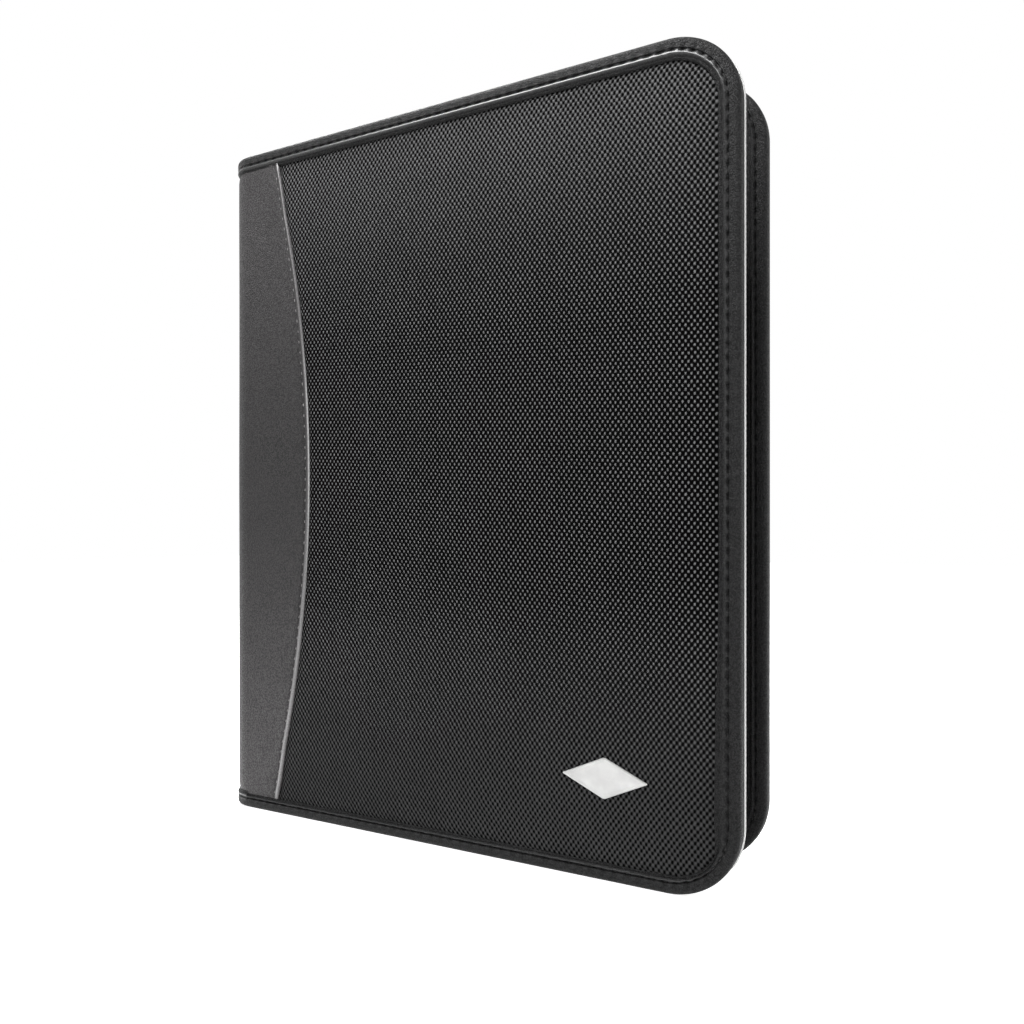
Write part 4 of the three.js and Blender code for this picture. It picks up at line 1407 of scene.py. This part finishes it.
@dataclass
class FrontTrim(Assembly):
    """The bare diamond plate and the pale strip on the front cover, whose colour is a painted
    highlight along the fore-edge.
    """

    plate_levels: Tuple[Pair, ...] = (
        (0.0, 0.28), (0.1, 0.1), (0.3, 0.0), (1.0, 0.0), (1.15, 0.05), (1.2, 0.16),
        (1.3, 0.18), (5.5, 0.18))
    plate_back: float = 0.25
    strip_section: Tuple[Pair, ...] = (
        (1.2, -1.55), (0.2, -1.53), (-0.12, -1.6), (-0.33, -1.76), (-0.38, -1.95),
        (-0.33, -2.14), (-0.12, -2.3), (0.2, -2.37), (1.2, -2.35))
    strip_end: float = 44.0
    strip_full: float = 30.0
    strip_sunk: float = 1.2

    def build(self) -> None:
        """Make the plate and the pale strip of painted highlight."""
        self.plate()
        self.welt()

    def plate(self) -> None:
        """A thin bevelled diamond with a raised rim and a plain sunk field."""
        (left, front, bottom), (right, back, top) = box_mm("diamond_plate")
        middle_x, middle_z = (left + right) / 2, (bottom + top) / 2
        half_w, half_h = (right - left) / 2, (top - bottom) / 2
        levels = [(0.0, back + self.plate_back)]
        levels += [(inset, front + depth) for inset, depth in self.plate_levels]
        rings = []
        for inset, y in levels:
            w, h = half_w * (1 - inset / half_h), half_h - inset
            corners = ((-w, 0.0), (0.0, -h), (w, 0.0), (0.0, h))
            ring = []
            for (ax, az), (bx, bz) in zip(corners, corners[1:] + corners[:1]):
                for t in (0.03, 0.35, 0.65, 0.97):
                    ring.append((middle_x + ax + (bx - ax) * t, y, middle_z + az + (bz - az) * t))
            rings.append(ring)
        self.keep(tube("bare_plate", rings, 30), SATIN_PLATE, "front_cover", ["diamond_plate"])

    def welt(self) -> None:
        """A round-nosed pale strip in the back of the front binding; its pale colour is a painted
        highlight along the fore-edge.
        """
        rings = []
        for place in edge_path(1.5):
            angle = abs(math.degrees(math.atan2(-place.in_z, -place.in_x)))
            if angle <= self.strip_end:
                sunk = self.strip_sunk * (1 - smooth_step(self.strip_end, self.strip_full, angle))
                rings.append([place.at(Side.FRONT, inset + sunk, height)
                              for inset, height in self.strip_section])
        self.keep(tube("pale_edge_strip", rings), PAINTED_HIGHLIGHT_STRIP, "front_cover",
                  ["front_cover_welt"])


@dataclass(frozen=True)
class Layer:
    """A sheet that bends round the spine: faces, inset from both ends and its solids."""

    name: str
    hidden: float
    shown: float
    inset: float
    finish: Finish
    solids: Tuple[str, ...]
    tucked: bool


@dataclass
class Spine(Assembly):
    """Everything that bends round the spine, in halves, each shaped round its own fold.

    The pieces of the front half stand for the whole solids.
    """

    layers: Tuple[Layer, ...] = (
        Layer("wrap", 1.9, 2.5, S.binding - S.wrap_tuck, GREY_LEATHER,
              ("spine_wrap", "spine_foam"), True),
        Layer("lining", -1.2, -1.9, 3.2, INNER_NYLON, ("spine_lining",), False))
    layer_rows: int = 70
    ripple: float = 0.1
    stitch_places: Tuple[float, ...] = (0.12, 0.42, 0.72, 1.02, 1.6)

    def build(self) -> None:
        """Make the wrap, the lining and the bindings of both halves."""
        for side in Side:
            for layer in self.layers:
                self.layer(side, layer)
            for end in End:
                self.binding(side, end)
                self.stitches(side, end)
        self.paint.put(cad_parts["spine_board"], GREYBOARD)

    @staticmethod
    def end_z(end: End, inset: float) -> float:
        """Z at an inset from one end of the spine."""
        return inset if end is End.BOTTOM else S.height - inset

    def follow(self, piece: bpy.types.Object, finish: Finish, side: Side,
               solids: Sequence[str] = ()) -> None:
        """Finish a piece and let it bend between its cover and the spine.

        Args:
            piece: The new object.
            finish: Its finish.
            side: Which half the piece belongs to; only the front half's piece stands for solids.
            solids: Solids that the front half's piece stands for.
        """
        self.keep(piece, finish, None, solids if side is Side.FRONT else ())
        start = (S.fold_x * MM, side.value * S.cover_middle * MM, S.height / 2 * MM)
        end = ((S.fold_x - S.fold_middle) * MM, side.value * S.fold_y * MM, S.height / 2 * MM)
        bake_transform(piece)

    def layer(self, side: Side, layer: Layer) -> None:
        """A thin sheet round one fold and half of the spine's wall.

        Args:
            side: Which fold.
            layer: The sheet.
        """
        path = [k / 14 for k in range(15)] + [1 + k / 5 for k in range(1, 6)]
        shown, hidden = [], []
        for i in range(self.layer_rows + 1):
            z = layer.inset + (S.height - 2 * layer.inset) * i / self.layer_rows
            tuck = smooth_step(-0.9, 1.8, min(z, S.height - z) - S.binding) if layer.tucked else 1
            face = layer.hidden + (layer.shown - layer.hidden) * (0.25 + 0.75 * tuck)
            row = []
            for u in path:
                x, y = fold_point(side, u, 0)
                ripple = self.ripple * noise.noise(Vector((x * 0.06, y * 0.06, z * 0.025)))
                ripple *= layer.tucked * smooth_step(0.0, 0.3, u)
                row.append((*fold_point(side, u, face + ripple), z))
            shown.append(row)
            hidden.append([(*fold_point(side, u, layer.hidden), z) for u in path])
        piece = sheet(f"spine_{layer.name}_{side.name.lower()}", shown, hidden)
        self.follow(piece, layer.finish, side, layer.solids)

    def binding(self, side: Side, end: End) -> None:
        """Binding round one fold at one end of the spine.

        Args:
            side: Which fold.
            end: Which end.
        """
        section = binding_section()
        label = end.name.lower()
        rings = []
        for u in [k / 18 for k in range(19)] + [1 + k / 6 for k in range(1, 7)]:
            run = u * S.fold_middle * QUARTER
            slack = 0.5 * math.sin(min(u, 1) * QUARTER)
            ring = []
            for inset, height in section:
                _, height = pucker(inset, height, run, 0)
                drawn = inset + slack * smooth_step(1.5, 0.0, inset)
                ring.append((*fold_point(side, u, height), self.end_z(end, drawn)))
            rings.append(ring)
        piece = tube(f"spine_{label}_binding_{side.name.lower()}", rings)
        # Crest marks paint a highlight and add gloss on the bead.
        mark_crests(piece, crest_weights(section))
        self.follow(piece, BLACK_LEATHER, side, [f"spine_binding_{label}"])

    def stitches(self, side: Side, end: End) -> None:
        """The few stitches round one fold at one end of the spine.

        Args:
            side: Which fold.
            end: Which end.
        """
        z = self.end_z(end, S.groove)
        places: List[Stitch] = []
        for u in self.stitch_places:
            here, ahead, above = (
                Vector((*fold_point(side, *place), z)) for place in (
                    (u, S.thread_level), (u + 0.02, S.thread_level), (u, S.thread_level + 1)))
            places.append((here, (ahead - here).normalized(), (above - here).normalized()))
        row = thread_row(f"spine_{end.name.lower()}_stitches_{side.name.lower()}", places,
                         S.stitch_length, S.thread_radius)
        self.follow(row, BLACK_THREAD, side)


@dataclass
class Inside(Assembly):
    """Pockets, pen loop and writing pad inside the rear cover."""

    pocket_columns: int = 44
    pocket_rows: int = 26
    pocket_thick: float = 0.7
    notch_depth: float = 9.0
    notch_reach: float = 11.0
    pocket_seam: float = 1.6
    pocket_pitch: float = 3.2
    pocket_stitch_length: float = 2.3
    pocket_thread_radius: float = 0.18
    loop_radius: float = 6.4
    loop_thick: float = 0.75
    loop_foot: float = 11.0

    def build(self) -> None:
        """Make the soft pieces and finish the pad."""
        self.pocket("document_pocket", notch=True)
        for i in (1, 2, 3):
            self.pocket(f"card_pocket_{i}", notch=False)
        self.loop()
        self.tape()
        self.paint.put(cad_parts["pad_sheets"], RULED_PAPER)
        self.paint.put(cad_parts["pad_back"], PAD_CARD)

    def pocket(self, node: str, notch: bool) -> None:
        """A pocket face with a turned hem, a sewn rim and its stitches.

        Args:
            node: Solid that it stands for.
            notch: Whether its mouth has a thumb notch.
        """
        (left, front, bottom), (right, back, top) = box_mm(node)
        columns, rows = self.pocket_columns, self.pocket_rows
        outer, inner = [], []
        for j in range(rows + 1):
            shown, hidden = [], []
            for i in range(columns + 1):
                x = left + (right - left) * i / columns
                dip = 0.0
                if notch:
                    dip = self.notch_depth * bell(x - (left + right) / 2, self.notch_reach, 4)
                z = bottom + (top - dip - bottom) * (j / rows)
                gap = min(x - left, right - x, z - bottom)
                hem = top - dip - z
                y = front + 0.45 - 0.4 * smooth_step(0.0, 2.2, gap)
                y += 0.12 * bell(hem - 3.2, 0.5) - 0.05 * bell(hem - 1.2, 1.2)
                room = back - y - 0.02
                thick = min(self.pocket_thick, room) if gap > 0.01 else room
                shown.append((x, y, z))
                hidden.append((x, y + max(0.25, thick), z))
            outer.append(shown)
            inner.append(hidden)
        self.keep(sheet(f"{node}_face", outer, inner), POCKET_LEATHER, "rear_cover", [node])
        self.pocket_stitches(node, front + 0.15)

    def pocket_stitches(self, node: str, y: float) -> None:
        """The stitches along a pocket's sides and bottom.

        Args:
            node: Solid of the pocket.
            y: Y of the threads.
        """
        (left, _, bottom), (right, _, top) = box_mm(node)
        seam, pitch, first, spare = self.pocket_seam, self.pocket_pitch, 3.0, 4.0
        out, up, along = Vector((0, -1, 0)), Vector((0, 0, 1)), Vector((1, 0, 0))
        places: List[Stitch] = []
        for k in range(int((top - bottom - spare) / pitch)):
            z = bottom + first + pitch * k
            places += [(Vector((x, y, z)), up, out) for x in (left + seam, right - seam)]
        for k in range(int((right - left - spare) / pitch)):
            places.append((Vector((left + first + pitch * k, y, bottom + seam)), along, out))
        row = thread_row(f"{node}_stitches", places, self.pocket_stitch_length,
                         self.pocket_thread_radius)
        self.keep(row, BLACK_THREAD, "rear_cover")

    def loop(self) -> None:
        """A woven elastic loop with flat feet and soft selvedges."""
        (left, front, bottom), (right, back, top) = box_mm("pen_loop")
        middle, r, reach = (left + right) / 2, self.loop_radius, self.loop_foot
        centre_y, foot_y = front + r, back - 0.8
        meet = math.acos((foot_y - centre_y) / r)
        heel = r * math.sin(meet)
        path = [(middle - reach + (reach - heel) * i / 6, foot_y) for i in range(6)]
        for i in range(33):
            a = QUARTER + meet + 2 * (math.pi - meet) * i / 32
            path.append((middle + r * math.cos(a), centre_y + r * math.sin(a)))
        path += [(middle + heel + (reach - heel) * i / 6, foot_y) for i in range(1, 7)]
        rows = 12
        outer, inner = [], []
        for j in range(rows + 1):
            t = j / rows
            z = bottom + (top - bottom) * t
            edge = 0.12 * smooth_step(0.8, 1.0, abs(2 * t - 1))
            shown, hidden = [], []
            for (x, y), before, after in zip(path, path[:1] + path, path[1:] + path[-1:]):
                dx, dy = after[0] - before[0], after[1] - before[1]
                nx, ny = dy / math.hypot(dx, dy), -dx / math.hypot(dx, dy)
                depth = self.loop_thick - edge
                shown.append((x + nx * edge, y + ny * edge, z))
                hidden.append((x - nx * depth, y - ny * depth, z))
            outer.append(shown)
            inner.append(hidden)
        self.keep(sheet("elastic_pen_loop", outer, inner), WOVEN_ELASTIC, "rear_cover",
                  ["pen_loop"])

    def tape(self) -> None:
        """The cloth tape over the pad's head."""
        (left, front, bottom), (right, back, top) = box_mm("pad_tape")
        thick, steps = 0.3, 20
        section = ((back, top - 0.05), (back - 0.3, top), (front + 0.8, top),
                   (front + 0.25, top - 0.2), (front, top - 0.7), (front, bottom + 0.1),
                   (front + 0.08, bottom), (front + thick, bottom), (front + thick, top - thick),
                   (back, top - thick))
        rings = [[(left + (right - left) * i / steps, y, z) for y, z in section]
                 for i in range(steps + 1)]
        self.keep(tube("pad_head_tape", rings), HEAD_TAPE, "pad", ["pad_tape"])


@dataclass
class Holder(Assembly):
    """The rigid parts of the tablet holder and its mount."""

    plastic: Tuple[str, ...] = ("mount_plate", "swivel_ring", "swivel_rotor", "holder_housing",
                                "holder_lid", "pinion", "upper_jaw", "lower_jaw")
    plastic_bevel: float = 0.3
    grip_bevel: float = 0.15
    steel_bevel: float = 0.1

    def build(self) -> None:
        """Finish the moulded parts, grips, rivets, screws and spring."""
        for node in self.plastic:
            self.dress(node, MOULDED_PLASTIC, self.plastic_bevel)
        for level in ("upper", "lower"):
            for hand in ("left", "right"):
                self.dress(f"{level}_grip_{hand}", RIBBED_RUBBER, self.grip_bevel)
        for i in range(1, 5):
            for kind in ("mount_rivet", "ring_screw", "holder_screw"):
                self.dress(f"{kind}_{i}", BRIGHT_STEEL, self.steel_bevel)
        self.dress("pinion_spring", BRIGHT_STEEL)


# Stage


def turned(place: Triple, aim: Triple) -> Euler:
    """Rotation of a light or a camera that looks from a place at an aim."""
    return (Vector(aim) - Vector(place)).to_track_quat("-Z", "Y").to_euler()


@dataclass(frozen=True)
class Lamp:
    """A soft rectangular light, with its sizes in metres and its power in watts."""

    name: str
    place: Triple
    aim: Triple
    size: Pair
    watts: float

    def hang(self) -> None:
        """Add the light to the scene."""
        data = bpy.data.lights.new(self.name, "AREA")
        data.shape = "RECTANGLE"
        data.size, data.size_y = self.size
        data.energy = self.watts
        light = bpy.data.objects.new(self.name, data)
        light.location = self.place
        light.rotation_euler = turned(self.place, self.aim)
        light.visible_camera = False
        bpy.context.scene.collection.objects.link(light)


LAMPS = (
    Lamp("above", (-0.15, -0.08, 0.62), (-0.1, -0.04, 0.14), (1.1, 0.24), 12.5),
    Lamp("front", (0.45, -0.5, 0.35), (0.02, -0.03, 0.14), (0.3, 0.3), 0.7),
    Lamp("low", (-0.3, -0.6, 0.03), (-0.06, 0.0, 0.03), (0.4, 0.1), 0.4),
    Lamp("right", (0.75, -0.15, 0.22), (0.1, 0.0, 0.12), (0.2, 0.5), 3.5),
    Lamp("left", (-0.9, -0.2, 0.4), (-0.1, 0.0, 0.14), (0.25, 0.6), 0.9),
    Lamp("behind", (-0.3, 0.6, 0.6), (0.0, 0.0, 0.14), (0.6, 0.4), 4.0),
)


@dataclass
class Studio:
    """Floor, light and camera."""

    floor_size: float = 3000.0
    floor_tone: float = 0.9
    lens: float = 31.29
    sensor: float = 36.0
    shift_y: float = 0.0182
    eye: Triple = (0.1823, -0.2932, 0.1168)
    view: Triple = (-0.4876, 0.8731, 0.0)

    def build(self) -> None:
        """Set the whole stage."""
        self.floor()
        self.world()
        for lamp in LAMPS:
            lamp.hang()
        self.camera()

    def floor(self) -> None:
        """A plain pale floor, white to the eye and a soft pool of light under the object."""
        bm = bmesh.new()
        bmesh.ops.create_grid(bm, x_segments=8, y_segments=8, size=self.floor_size)
        floor = finish_mesh("floor", bm)
        material, g, shader = new_material("pale_floor")
        seen = g.seen()
        far = g.get("ShaderNodeVectorMath", "Value", {0: g.position()}, operation="LENGTH")
        pool = g.ramp(far, 130.0, 330.0, self.floor_tone, 0.15)
        tone = g.math("MAXIMUM", pool, seen * self.floor_tone)
        glow = seen * g.ramp(far, 300.0, 900.0, 0.82, 1.0)
        g.fill(shader, {
            "Base Color": g.grey(tone), "Roughness": 0.9, "Specular IOR Level": 0.0,
            "Emission Color": g.grey(glow), "Emission Strength": 1.0})
        floor.data.materials.append(material)

    @staticmethod
    def world() -> None:
        """White to the eye; as light, soft from above and dim at the horizon."""
        world = bpy.data.worlds.new("studio")
        bpy.context.scene.world = world
        world.use_nodes = True
        g = Graph(world.node_tree)
        rise = g.split(g.get("ShaderNodeTexCoord", "Generated"))[2]
        sky = g.ramp(rise, 0.0, 1.0, 0.03, 0.22)
        g.fill(world.node_tree.nodes["Background"], {
            "Color": (1, 1, 1, 1), "Strength": g.math("MAXIMUM", sky, g.seen())})

    def camera(self) -> None:
        """The camera at the photograph's view."""
        data = bpy.data.cameras.new("camera")
        data.lens = self.lens
        data.sensor_width = self.sensor
        data.shift_y = self.shift_y
        camera = bpy.data.objects.new("camera", data)
        camera.location = self.eye
        camera.rotation_euler = turned((0.0, 0.0, 0.0), self.view)
        bpy.context.scene.collection.objects.link(camera)
        bpy.context.scene.camera = camera
        bpy.context.scene.view_settings.view_transform = "Standard"


def main() -> None:
    """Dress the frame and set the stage."""
    logging.basicConfig(level=logging.INFO, format="%(name)s: %(message)s")
    paint = Paint()
    parts = [Cover(paint, Side.FRONT), Cover(paint, Side.REAR), FrontTrim(paint), Spine(paint),
             Inside(paint), Holder(paint)]
    for part in parts:
        part.build()
        LOG.info("%s done: %d pieces", type(part).__name__, len(part.pieces))
    Studio().build()


if __name__ == "__main__":
    main()
